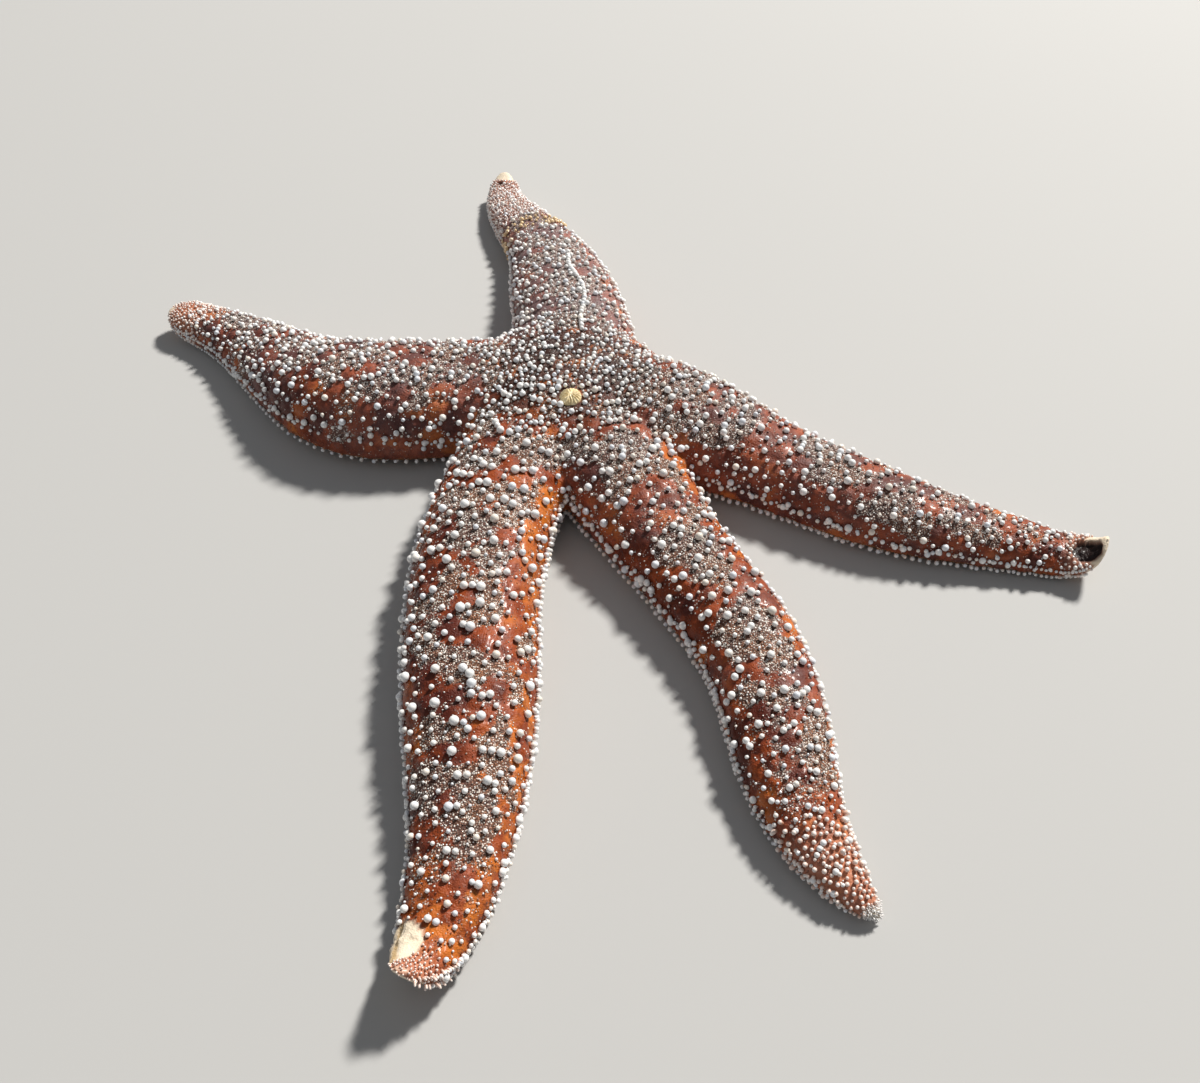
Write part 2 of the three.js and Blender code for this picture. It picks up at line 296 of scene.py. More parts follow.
class Arm:
    """Shape of one arm: the envelope of its spine tips, and the skin within it."""

    def __init__(self, plan: ArmPlan, centre: np.ndarray) -> None:
        """Lays the arm's centre line on the floor.

        Args:
            plan: The arm's sizes.
            centre: The disc's centre on the floor.
        """
        self.plan = plan
        self.length = plan.length_mm * MM
        middles = (np.arange(LINE_STEPS) + 0.5) / LINE_STEPS
        steps = self.axes(middles)[0] * self.length / LINE_STEPS
        self.line = centre + np.vstack([np.zeros(3), np.cumsum(steps, axis=0)])

    def axes(self, share: np.ndarray) -> tuple[np.ndarray, np.ndarray, np.ndarray]:
        """Finds which way the arm lies.

        Args:
            share: Shares of its length.

        Returns:
            Directions outwards, to its left and up from its back.
        """
        turn = np.radians(along(self.plan.bearings, share))
        lifted = np.clip((share - CURL_START) / (1 - CURL_START), 0, 1) ** CURL_POWER
        rise = np.radians(self.plan.curl) * lifted
        flat = np.cos(rise)
        out = np.stack([np.cos(turn) * flat, np.sin(turn) * flat, np.sin(rise)], -1)
        left = np.stack([-np.sin(turn), np.cos(turn), np.zeros_like(turn)], -1)
        return out, left, np.cross(out, left)

    def centre(self, share: np.ndarray) -> np.ndarray:
        """Gives points of the centre line at shares of the arm's length."""
        x = np.clip(np.asarray(share, float), 0, 1) * LINE_STEPS
        steps = np.arange(LINE_STEPS + 1)
        return np.stack([np.interp(x, steps, self.line[:, k]) for k in range(3)], -1)

    def width(self, share: np.ndarray) -> np.ndarray:
        """Gives the widths at shares of the arm's length, closing to a round end."""
        reach = np.clip((share - DOME_START) / (1 - DOME_START), 0, 1)
        return MM * along(self.plan.widths_mm, share) * np.clip(np.sqrt(1 - reach**2), DOME_END_WIDTH, 1)

    def coat(self, share: np.ndarray) -> np.ndarray:
        """Gives the depth of the coat of spines at shares of the arm's length."""
        return np.minimum(COAT_DEPTH, COAT_SHARE * self.width(share))

    def surface(self, share: np.ndarray, angle: np.ndarray) -> np.ndarray:
        """Finds points of the skin.

        Args:
            share: Shares of the arm's length.
            angle: Angles round its section.

        Returns:
            The points, one per row.
        """
        coat = self.coat(share)
        width = self.width(share)
        left, up = section(angle, width / 2 - SIDE_COAT * coat, ARM_HEIGHT * width - coat)
        lift = np.minimum(SOLE_CLEARANCE, width / 10) * (1 - up / (ARM_HEIGHT * width))
        _, across, above = self.axes(share)
        return self.centre(share) + across * left[..., None] + above * (up + lift)[..., None]

    def flank(self, share: np.ndarray, degrees: float, side: int) -> np.ndarray:
        """Gives points of the skin at an angle up from the arm's left edge, or from its right for side -1."""
        angle = math.radians(degrees)
        return self.surface(share, np.full(len(share), angle if side > 0 else math.pi - angle))

    def place(self, points: np.ndarray) -> dict[str, np.ndarray]:
        """Finds points' places on this arm.

        Args:
            points: Points, one per row.

        Returns:
            The fields of Places for this arm alone.
        """
        shares = np.arange(LINE_STEPS + 1) / LINE_STEPS
        _, _, above = self.axes(shares)
        core = self.line + above * (CORE_LEVEL * ARM_HEIGHT * self.width(shares))[:, None]
        share = shares[np.argmin((core**2).sum(-1) - 2 * points @ core.T, axis=1)]
        for _ in range(PLACE_ROUNDS):
            out = self.axes(share)[0]
            offset = points - self.centre(share)
            share = np.clip(share + (offset * out).sum(-1) / self.length, 0, 1)
        out, across, above = self.axes(share)
        offset = points - self.centre(share)
        left, up = (offset * across).sum(-1), (offset * above).sum(-1)
        beyond = np.abs((offset * out).sum(-1))
        half, tall = self.width(share) / 2, ARM_HEIGHT * self.width(share)
        level = WIDEST_LEVEL * tall
        ratio = np.clip(np.abs(left) / half, 0, 1) ** (1 / FLANK_POWER)
        angle = np.arccos(np.sign(left) * ratio)
        angle = np.where(up < level, 2 * math.pi - angle, angle)
        off = np.hypot(left / half, (up - level) / (tall - level)) + beyond / half
        return {"share": share, "left": left, "up": up, "angle": angle, "off": off}


class Body:
    """The five arms about the disc, and the way to find a point's place on them."""

    def __init__(self) -> None:
        """Places the arms about the middle of the mouth."""
        low, high = (np.array(corner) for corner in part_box("mouth"))
        self.centre = np.array([(low[0] + high[0]) / 2, (low[1] + high[1]) / 2, 0.0])
        self.arms = [Arm(plan, self.centre) for plan in ARM_PLANS]

    def locate(self, points: np.ndarray) -> Places:
        """Finds points' places on the body.

        Args:
            points: Points, one per row.

        Returns:
            Their places.
        """
        rows = [arm.place(points) for arm in self.arms]
        best = np.argmin([row["off"] for row in rows], axis=0)
        own = {key: np.array([row[key] for row in rows])[best, np.arange(len(points))] for key in rows[0]}
        return Places(arm=best, radius=np.hypot(*(points - self.centre)[:, :2].T), **own)

    def per_arm(self, places: Places, name: str) -> np.ndarray:
        """Gives a number of each place's arm plan."""
        return np.array([getattr(arm.plan, name) for arm in self.arms], float)[places.arm]

    def per_tip(self, places: Places, name: str) -> np.ndarray:
        """Gives a number of the plan of each place's arm end."""
        return np.array([getattr(arm.plan.tip, name) for arm in self.arms], float)[places.arm]

    def widths(self, places: Places) -> np.ndarray:
        """Gives the width of each place's arm at its share."""
        return np.choose(places.arm, [arm.width(places.share) for arm in self.arms])


def put(name: str, mesh: bpy.types.Mesh) -> bpy.types.Object:
    """Adds a mesh to the scene as an object at the origin.

    Args:
        name: Name of the object and its mesh.
        mesh: The mesh.

    Returns:
        The object.
    """
    mesh.name = name
    obj = bpy.data.objects.new(name, mesh)
    bpy.context.scene.collection.objects.link(obj)
    return obj


def set_places(verts: list[bmesh.types.BMVert], points: np.ndarray) -> None:
    """Moves a bmesh's vertices to points."""
    for vertex, point in zip(verts, points):
        vertex.co = point


def even(bm: bmesh.types.BMesh, verts: list[bmesh.types.BMVert], rounds: int) -> None:
    """Draws vertices towards the middle of their neighbours, round after round."""
    for _ in range(rounds):
        bmesh.ops.smooth_vert(bm, verts=verts, factor=0.5, use_axis_x=True, use_axis_y=True, use_axis_z=True)


def spin(profile: Profile, sides: int, weld: float, closed: bool = False) -> bmesh.types.BMesh:
    """Spins a profile about the upright axis.

    Args:
        profile: The profile.
        sides: Number of steps round the axis.
        weld: Vertices closer than this become one.
        closed: Whether the profile's last point meets its first.

    Returns:
        The form.
    """
    bm = bmesh.new()
    row = [bm.verts.new((radius, 0.0, height)) for radius, height in profile]
    edges = [bm.edges.new(pair) for pair in zip(row, row[1:] + (row[:1] if closed else []))]
    bmesh.ops.spin(bm, geom=row + edges, cent=(0, 0, 0), axis=(0, 0, 1), angle=2 * math.pi, steps=sides,
                   use_merge=True)
    bmesh.ops.remove_doubles(bm, verts=bm.verts, dist=weld)
    return bm


def mesh_of(bm: bmesh.types.BMesh) -> bpy.types.Mesh:
    """Turns a bmesh into a smooth-shaded mesh and frees it.

    Args:
        bm: The bmesh.

    Returns:
        The mesh, still without its name.
    """
    for face in bm.faces:
        face.smooth = True
    mesh = bpy.data.meshes.new("form")
    bm.to_mesh(mesh)
    bm.free()
    return mesh


def vertex_vectors(mesh: bpy.types.Mesh, normal: bool = False) -> np.ndarray:
    """Reads the places of a mesh's vertices, or their normals.

    Args:
        mesh: The mesh.
        normal: Whether to read normals.

    Returns:
        One row for each vertex.
    """
    flat = np.empty(3 * len(mesh.vertices), np.float32)
    if normal:
        mesh.vertex_normals.foreach_get("vector", flat)
    else:
        mesh.vertices.foreach_get("co", flat)
    return flat.reshape(-1, 3).astype(float)


def move_vertices(mesh: bpy.types.Mesh, points: np.ndarray) -> None:
    """Sets the places of a mesh's vertices."""
    mesh.vertices.foreach_set("co", points.astype(np.float32).ravel())
    mesh.update()


def paint(mesh: bpy.types.Mesh, name: str, values: np.ndarray) -> None:
    """Stores a number for each vertex of a mesh as an attribute."""
    layer = mesh.attributes.new(name, "FLOAT", "POINT")
    layer.data.foreach_set("value", np.asarray(values, np.float32))


def sift(points: np.ndarray, rooms: np.ndarray, rng: np.random.Generator,
         taken: list[Entry] | None = None) -> np.ndarray:
    """Picks points in random order so that each keeps its distance from those picked before.

    Args:
        points: The points to pick from, one per row.
        rooms: For each point, the diameter of the room that it needs.
        rng: Source of the random order.
        taken: Entries picked earlier, which are kept clear and added to.

    Returns:
        Indices of the picked points.
    """
    taken = taken if taken is not None else []
    if not len(points):
        return np.zeros(0, int)
    cell = max([float(rooms.max())] + [other[3] for other in taken])
    grid: dict[tuple[int, int, int], list[Entry]] = {}
    for other in taken:
        grid.setdefault(tuple(math.floor(value / cell) for value in other[:3]), []).append(other)
    around = list(product((0, -1, 1), repeat=3))
    picked = []
    rows = np.column_stack([points, rooms])
    for index in rng.permutation(len(points)).tolist():
        x, y, z, room = entry = tuple(rows[index].tolist())
        i, j, k = math.floor(x / cell), math.floor(y / cell), math.floor(z / cell)
        near = (other for a, b, c in around for other in grid.get((i + a, j + b, k + c), ()))
        if any((x - u) ** 2 + (y - v) ** 2 + (z - w) ** 2 < (room + other) ** 2 / 4
               for u, v, w, other in near):
            continue
        grid.setdefault((i, j, k), []).append(entry)
        taken.append(entry)
        picked.append(index)
    return np.array(picked, int)


@dataclass
class Skin:
    """The one skin over disc and arms, with its relief, groove and the marks that its finish reads."""

    body: Body
    voxel: float = 0.74 * MM
    evening_rounds: int = 3
    notch_rounds: int = 14
    notch_off: float = 0.84
    notch_floor: float = 3 * MM
    fine_from: float = 0.93
    window_size: float = 4.1 * MM
    window_warp: float = 0.8 * MM
    ridge_height: float = 0.3 * MM
    swell: float = 0.5 * MM
    crease: float = 0.12 * MM
    furrow_depth: float = 0.3 * MM
    hollow_depth: float = 1.1 * MM
    # Direction of the painted sunlight: flanks that face it are coloured brighter orange.
    sunlit: tuple[float, float, float] = (0.85, 0.1, 0.15)
    lengths: int = 150
    rounds: int = 64
    straight: float = 0.8
    domed: float = 0.2

    def tube(self, arm: Arm, bm: bmesh.types.BMesh) -> None:
        """Adds an arm's closed tube.

        Args:
            arm: The arm.
            bm: The bmesh that takes it.
        """
        made = bmesh.ops.create_grid(bm, x_segments=self.lengths, y_segments=self.rounds, size=1.0)["verts"]
        flat = np.array([vertex.co for vertex in made])
        reach = (flat[:, 0] + 1) / 2
        end = DOME_START + (1 - DOME_START) * np.sin((reach - self.straight) / self.domed * math.pi / 2)
        share = np.where(reach < self.straight, reach * DOME_START / self.straight, end)
        set_places(made, arm.surface(share, (flat[:, 1] + 1) * math.pi))
        bmesh.ops.remove_doubles(bm, verts=made, dist=0.01 * MM)

    def dome(self, bm: bmesh.types.BMesh) -> None:
        """Adds the disc's dome.

        Args:
            bm: The bmesh that takes it.
        """
        made = bmesh.ops.create_uvsphere(bm, u_segments=96, v_segments=48, radius=1.0)["verts"]
        ball = np.array([vertex.co for vertex in made])
        rise = np.arcsin(np.clip(ball[:, 2], -1, 1))
        reach, up = section(rise, DISC_RADIUS - SIDE_COAT * COAT_DEPTH, DISC_HEIGHT - COAT_DEPTH)
        lift = SOLE_CLEARANCE * (1 - up / DISC_HEIGHT)
        ring = unit(ball[:, :2])
        set_places(made, self.body.centre + np.column_stack([ring * reach[:, None], up + lift]))

    def shell(self) -> bpy.types.Mesh:
        """Joins arms and dome under one closed skin.

        Returns:
            The skin's mesh, before its relief.
        """
        bm = bmesh.new()
        for arm in self.body.arms:
            self.tube(arm, bm)
        bmesh.ops.holes_fill(bm, edges=[edge for edge in bm.edges if edge.is_boundary], sides=0)
        self.dome(bm)
        bmesh.ops.recalc_face_normals(bm, faces=bm.faces)
        rough = put("skin_core", mesh_of(bm))
        remesh = rough.modifiers.new("one_skin", "REMESH")
        remesh.mode = "VOXEL"
        remesh.voxel_size = self.voxel
        bpy.context.view_layer.update()
        whole = bpy.data.meshes.new_from_object(rough.evaluated_get(bpy.context.evaluated_depsgraph_get()))
        bpy.data.objects.remove(rough)
        bm = bmesh.new()
        bm.from_mesh(whole)
        even(bm, bm.verts, self.evening_rounds)
        places = self.body.locate(np.array([vertex.co for vertex in bm.verts]))
        notch = (places.off > self.notch_off) & (places.radius < 1.5 * DISC_RADIUS)
        notch &= places.up > self.notch_floor
        even(bm, [vertex for vertex, inside in zip(bm.verts, notch.tolist()) if inside], self.notch_rounds)
        ends = set(np.flatnonzero(places.share > self.fine_from).tolist())
        fine = [edge for edge in bm.edges if edge.verts[0].index in ends and edge.verts[1].index in ends]
        bmesh.ops.subdivide_edges(bm, edges=fine, cuts=1, smooth=0.5, use_grid_fill=True)
        bmesh.ops.triangulate(bm, faces=[face for face in bm.faces if len(face.verts) > 4])
        return mesh_of(bm)

    def network(self, points: np.ndarray, places: Places,
                rng: np.random.Generator) -> tuple[np.ndarray, ...]:
        """Spreads the skin's smooth windows, with ridges between them.

        Args:
            points: The skin's vertices.
            places: Their places.
            rng: Source of the windows' places and tones.

        Returns:
            Ridge, dome and tone of each vertex, from 0 to 1.
        """
        fine = 1 - 0.5 * smooth(0.55, 0.95, places.share)
        fine *= np.where(places.radius < 20 * MM, 0.75, 1.0)
        warp = np.column_stack([lumps(points, 3 * MM, 7.0 * k) for k in range(3)])
        warped = points + self.window_warp * warp
        seeds = sift(points, self.window_size * fine, rng)
        tree = kdtree.KDTree(len(seeds))
        for number, point in enumerate(warped[seeds]):
            tree.insert(point, number)
        tree.balance()
        near = [tree.find_n(point, 2) for point in warped]
        first, second = (np.array([pair[k][2] for pair in near]) for k in (0, 1))
        seed = np.array([pair[0][1] for pair in near])
        gap = (second - first) / fine
        ridge = 1 - smooth(0.25 * MM, 1.15 * MM, gap)
        dome = smooth(0.5 * MM, 3.4 * MM, gap)
        return ridge, dome, rng.random(len(seeds))[seed]

    def groove(self, places: Places) -> np.ndarray:
        """Depth of the feet's groove and the mouth's hollow over each of the skin's lower vertices.

        Args:
            places: The vertices' places.

        Returns:
            How far each vertex is pushed up.
        """
        width = self.body.widths(places)
        side = np.abs(places.left) / (GROOVE_WIDTH / 2 * width)
        fade = 1 - smooth(GROOVE_END - 0.06, GROOVE_END, places.share)
        slot = GROOVE_DEPTH * ARM_HEIGHT * width * (1 - smooth(GROOVE_CEILING, 1.0, side)) * fade
        hollow = MOUTH_DEPTH * (1 - smooth(0.8 * MOUTH_RADIUS, MOUTH_RADIUS, places.radius))
        return np.maximum(slot, hollow)

    def spots(self, points: np.ndarray, name: str) -> np.ndarray:
        """Finds the arms' spots of one name.

        Args:
            points: The skin's vertices.
            name: The spots' name in their tip's plan.

        Returns:
            How far inside a spot each vertex is, from 0 to 1.
        """
        inside = np.zeros(len(points))
        for arm in self.body.arms:
            spot = getattr(arm.plan.tip, name)
            if spot is None:
                continue
            middle = arm.surface(np.array([spot.share]), np.radians([spot.degrees]))[0]
            away = np.linalg.norm(points - middle, axis=1) + 0.35 * MM * lumps(points, 1.5 * MM, 41.0)
            radius, edge = spot.radius_mm * MM, 0.3 * MM
            inside = np.maximum(inside, smooth(radius + edge, radius - edge, away))
        return inside

    def bare(self, points: np.ndarray, places: Places) -> tuple[np.ndarray, np.ndarray]:
        """Finds the bare skin at the arms' ends, and the closed furrow along it.

        Args:
            points: The skin's vertices.
            places: Their places.

        Returns:
            How bare each vertex is, and how deep in the furrow, from 0 to 1.
        """
        start, cap, wrap, furrow = (self.body.per_tip(places, name)
                                    for name in ("bare_from", "cap_from", "wrap", "furrow"))
        ragged = places.share + 0.006 * lumps(points, 1.5 * MM, 37.0)
        below = smooth(-0.008, 0.008, ragged - start) * smooth(0.12, -0.12, np.sin(places.angle) - wrap)
        bare = np.maximum(below, smooth(-0.006, 0.006, ragged - cap))
        bare = np.maximum(bare, self.spots(points, "patch"))
        aside = np.abs(np.sin((places.angle - np.radians(furrow)) / 2)) * self.body.widths(places)
        return bare, bare * smooth(0.75 * MM, 0.2 * MM, aside) * smooth(0.995, 0.98, places.share)

    def build(self, rng: np.random.Generator) -> bpy.types.Object:
        """Makes the skin.

        Args:
            rng: Source of its pattern.

        Returns:
            The skin's object.
        """
        mesh = self.shell()
        points, normals = vertex_vectors(mesh), vertex_vectors(mesh, normal=True)
        places = self.body.locate(points)
        ridge, dome, tone = self.network(points, places, rng)
        sole = smooth(-0.35, -0.8, normals[:, 2]) * smooth(0.3, 0.2, places.up / DISC_HEIGHT)
        crown = np.clip(np.sin(places.angle), 0, 1)
        disc = smooth(25 * MM, 12 * MM, places.radius + 2 * MM * lumps(points, 6 * MM, 3.0))
        crowd = self.body.per_tip(places, "crowd_from")
        tip = smooth(-0.01, 0.04, places.share + 0.015 * lumps(points, 3 * MM, 5.0) - crowd)
        patches = 0.5 * lumps(points, 12 * MM, 11.0) + 0.3 * lumps(points, 5 * MM, 17.0)
        patches += 0.9 * (tone - 0.5)
        grain = smooth(-0.12, 0.24, patches + 0.95 * crown**2 - 0.74)
        grain *= (1 - sole) * smooth(0.9, 0.76, places.share) * (1 - 0.6 * disc)
        bare, furrow = self.bare(points, places)
        # Mask of the hollows: a dent whose colour is painted shade.
        hollow = self.spots(points, "hollow")
        bare, furrow = bare * (1 - hollow), furrow * (1 - hollow)
        grit = np.maximum(np.clip(grain + 0.25 * ridge - 0.1, 0.05, 1), 0.2 * disc) ** 1.3
        grit *= (1 - sole) * (1 - bare) * (1 - hollow)
        warm = smooth(0.61, 0.63, places.share) * smooth(0.7, 0.68, places.share)
        warm *= self.body.per_arm(places, "keel")
        # Painted light: flanks facing the sunlit direction are painted brighter.
        glow = smooth(-0.35, 0.85, normals @ np.array(self.sunlit)) * self.body.per_arm(places, "glow")
        # Greyish cast, partly real tone and partly painted glare haze, strongest on the far arm.
        dust = self.body.per_arm(places, "dust") * (1 - disc)
        dust = np.clip(dust + 0.1 * lumps(points, 14 * MM, 23.0), 0, 1)
        marks = {Mark.RIDGE: ridge, Mark.TONE: tone, Mark.GRAIN: grain, Mark.GLOW: glow, Mark.SOLE: sole,
                 Mark.TIP: tip, Mark.DUST: dust, Mark.DISC: disc, Mark.BARE: bare, Mark.FURROW: furrow,
                 Mark.WARM: warm, Mark.HOLLOW: hollow, Mark.GRIT: grit}
        for mark, values in marks.items():
            paint(mesh, mark.value, values)
        calm = (1 - sole) * (1 - 0.75 * tip * (1 - hollow))
        rise = self.ridge_height * ridge + self.swell * dome * (1 - 0.35 * grain)
        rise += self.crease * lumps(points, 1.6 * MM, 31.0) - 0.25 * MM
        rise -= self.furrow_depth * furrow + self.hollow_depth * hollow
        moved = points + normals * (rise * calm)[:, None]
        moved[:, 2] += sole * (places.up < 4 * MM) * self.groove(places)
        moved[:, 2] = np.maximum(moved[:, 2], 0.1 * MM)
        move_vertices(mesh, moved)
        LOG.info("skin: %d faces, z %.2f to %.2f mm", len(mesh.polygons), moved[:, 2].min() / MM,
                 moved[:, 2].max() / MM)
        return put("skin", mesh)


@dataclass
class Roots:
    """Points on the skin where something grows."""

    points: np.ndarray
    normals: np.ndarray
    marks: dict[Mark, np.ndarray]
    places: Places

    def __len__(self) -> int:
        """Number of roots."""
        return len(self.points)

    def take(self, index: np.ndarray) -> "Roots":
        """Gives the roots at the given indices, or where a mask is true."""
        marks = {mark: values[index] for mark, values in self.marks.items()}
        return Roots(self.points[index], self.normals[index], marks, self.places.take(index))


class Ground:
    """The finished skin as ground for its coat."""

    def __init__(self, skin: bpy.types.Object, body: Body) -> None:
        """Reads the skin's mesh.

        Args:
            skin: The finished skin.
            body: The body that it covers.
        """
        mesh = skin.data
        self.body = body
        self.points, self.normals = vertex_vectors(mesh), vertex_vectors(mesh, normal=True)
        mesh.calc_loop_triangles()
        flat = np.empty(3 * len(mesh.loop_triangles), np.int32)
        mesh.loop_triangles.foreach_get("vertices", flat)
        self.faces = flat.reshape(-1, 3)
        self.marks = {}
        for mark in Mark:
            values = np.empty(len(mesh.vertices), np.float32)
            mesh.attributes[mark.value].data.foreach_get("value", values)
            self.marks[mark] = values.astype(float)
        self.tree = BVHTree.FromPolygons(self.points.tolist(), self.faces.tolist())

    def blend(self, faces: np.ndarray, weights: np.ndarray) -> Roots:
        """Gives the roots at weighted places of triangles.

        Args:
            faces: Indices of triangles.
            weights: Weight of each of their three corners.

        Returns:
            The roots.
        """
        corners = self.faces[faces]
        mixed = (self.points[corners] * weights[..., None]).sum(1)
        normals = unit((self.normals[corners] * weights[..., None]).sum(1))
        marks = {mark: (values[corners] * weights).sum(1) for mark, values in self.marks.items()}
        marks[Mark.TONE] = self.marks[Mark.TONE][corners[:, 0]]
        return Roots(mixed, normals, marks, self.body.locate(mixed))

    def scatter(self, count: int, rng: np.random.Generator, mark: Mark | None = None) -> Roots:
        """Gives roots spread evenly over the skin, or as densely as a mark says.

        Args:
            count: How many.
            rng: Source of their places.
            mark: The mark, or None.

        Returns:
            The roots.
        """
        a, b, c = (self.points[self.faces[:, k]] for k in range(3))
        areas = np.linalg.norm(np.cross(b - a, c - a), axis=1)
        if mark is not None:
            areas = areas * self.marks[mark][self.faces].mean(1)
        faces = rng.choice(len(self.faces), count, p=areas / areas.sum())
        weights = rng.dirichlet((1.0, 1.0, 1.0), count)
        return self.blend(faces, weights)

    def nearest(self, points: np.ndarray, reach: float) -> tuple[Roots, np.ndarray]:
        """Gives the skin's nearest roots to points.

        Args:
            points: Points, one per row.
            reach: Points further than this from the skin are left out.

        Returns:
            The roots, with marks from the middle of their triangle, and the indices of their points.
        """
        hits = [self.tree.find_nearest(point.tolist(), reach) for point in points]
        kept = np.array([number for number, hit in enumerate(hits) if hit[0] is not None], int)
        hits = [hits[number] for number in kept]
        faces = np.array([hit[2] for hit in hits], int)
        roots = self.blend(faces, np.full((len(faces), 3), 1 / 3))
        roots.points = np.array([hit[0] for hit in hits], float).reshape(-1, 3)
        roots.places = self.body.locate(roots.points)
        return roots, kept


class Prototype:
    """One small closed shape, repeated over the coat. Its radius is 1, and its foot lies below its root."""

    def __init__(self, bm: bmesh.types.BMesh) -> None:
        """Takes over a bmesh's triangles and the patch coordinates of their corners, and frees it.

        Args:
            bm: The bmesh.
        """
        bmesh.ops.triangulate(bm, faces=bm.faces)
        bmesh.ops.recalc_face_normals(bm, faces=bm.faces)
        self.points = np.array([vertex.co for vertex in bm.verts])
        low, high = self.points[:, 2].min(), self.points[:, 2].max()
        self.rise = np.clip((self.points[:, 2] - low) / (high - low), 0, 1)
        self.faces = np.array([[vertex.index for vertex in face.verts] for face in bm.faces])
        corner = self.points[self.faces]
        middle = corner.mean(1)
        round_middle = np.arctan2(middle[:, 1], middle[:, 0])[:, None]
        turn = np.arctan2(corner[..., 1], corner[..., 0]) - round_middle
        turn = (turn + math.pi) % (2 * math.pi) - math.pi
        turn = np.where(np.hypot(corner[..., 0], corner[..., 1]) < 1e-4, 0, turn)
        self.patch = np.stack([(round_middle + turn) / (2 * math.pi), self.rise[self.faces] - 0.5], -1)
        bm.free()

    @classmethod
    def spun(cls, profile: Profile, sides: int) -> "Prototype":
        """Spins a profile that runs from the foot to the top."""
        return cls(spin(profile, sides, 1e-5))

    @classmethod
    def pebble(cls) -> "Prototype":
        """Makes a rough grain."""
        bm = bmesh.new()
        bmesh.ops.create_uvsphere(bm, u_segments=5, v_segments=2, radius=1.0)
        return cls(bm)


def bead(neck: float, waist: float, low: float, arc: int, foot: float = -0.4, sink: float = 0.0) -> Profile:
    """Profile of a spine with a round head on a short stalk.

    Args:
        neck: Radius of the stalk over the head's.
        waist: Height of the head's middle over its radius.
        low: Lowest angle of the head's arc, in degrees.
        arc: Number of steps along the arc.
        foot: Height of the hidden foot.
        sink: How much the head's top is flattened.

    Returns:
        The profile.
    """
    steps = [math.radians(low + (90 - low) * k / arc) for k in range(arc)]
    head = [(math.cos(step), waist + math.sin(step) * (1 - sink * (math.sin(step) > 0))) for step in steps]
    return [(neck * 1.25, foot), (neck, foot + 0.45 * (waist - foot))] + head + [(0.0, waist + 1 - sink)]


def finger(length: float, taper: float, rings: int, foot: float = -0.3, bulge: float = 0.0) -> Profile:
    """Profile of a blunt, slender spine.

    Args:
        length: Length over the radius.
        taper: Radius near the end over the radius at the root.
        rings: Number of rings before the round end.
        foot: Height of the hidden foot.
        bulge: How much it swells in the middle.

    Returns:
        The profile.
    """
    rows = []
    for k in range(rings + 1):
        share = k / rings
        radius = 1 + (taper - 1) * share + bulge * math.sin(math.pi * share)
        rows.append((radius, foot + (length - taper - foot) * share))
    return rows + [(0.72 * taper, length - 0.3 * taper), (0.0, length)]


SUCKER = [(0.66, -0.06), (0.6, 0.25), (0.5, 0.6), (0.52, 0.86), (0.98, 0.93), (0.9, 1.0), (0.0, 0.96)]
"""Profile of a tube foot, with its disc at the top."""


class Kind(Enum):
    """Kinds of small parts, each with its prototype."""

    BIG = Prototype.spun(bead(0.56, 0.62, -38, 5), 10)
    MEDIUM = Prototype.spun(bead(0.6, 0.8, -35, 4), 8)
    SMALL = Prototype.spun(bead(0.7, 0.9, -20, 3), 7)
    MARGIN = Prototype.spun(bead(0.62, 1.25, -40, 4, sink=0.1), 8)
    GRAIN = Prototype.pebble()
    FINE = Prototype.spun(finger(2.7, 0.86, 1), 6)
    FRINGE = Prototype.spun(finger(4.4, 0.8, 2, bulge=0.08), 6)
    FEELER = Prototype.spun(finger(4.6, 0.75, 2), 5)
    PEARL = Prototype.spun(bead(0.75, 1.1, -30, 3), 7)
    SOLE = Prototype.spun(finger(7.5, 0.75, 2, bulge=0.1), 6)
    ORAL = Prototype.spun(finger(7.0, 0.8, 3, bulge=0.12), 8)
    FOOT = Prototype.spun(SUCKER, 8)


@dataclass
class Growth:
    """Small parts of one kind on their roots: their directions, radii, tones and heights over the usual."""

    kind: Kind
    roots: Roots
    lean: np.ndarray
    radius: np.ndarray
    tone: np.ndarray
    stretch: np.ndarray

    def take(self, index: np.ndarray) -> "Growth":
        """Gives the parts at the given indices, or where a mask is true."""
        own = (values[index] for values in (self.lean, self.radius, self.tone, self.stretch))
        return Growth(self.kind, self.roots.take(index), *own)


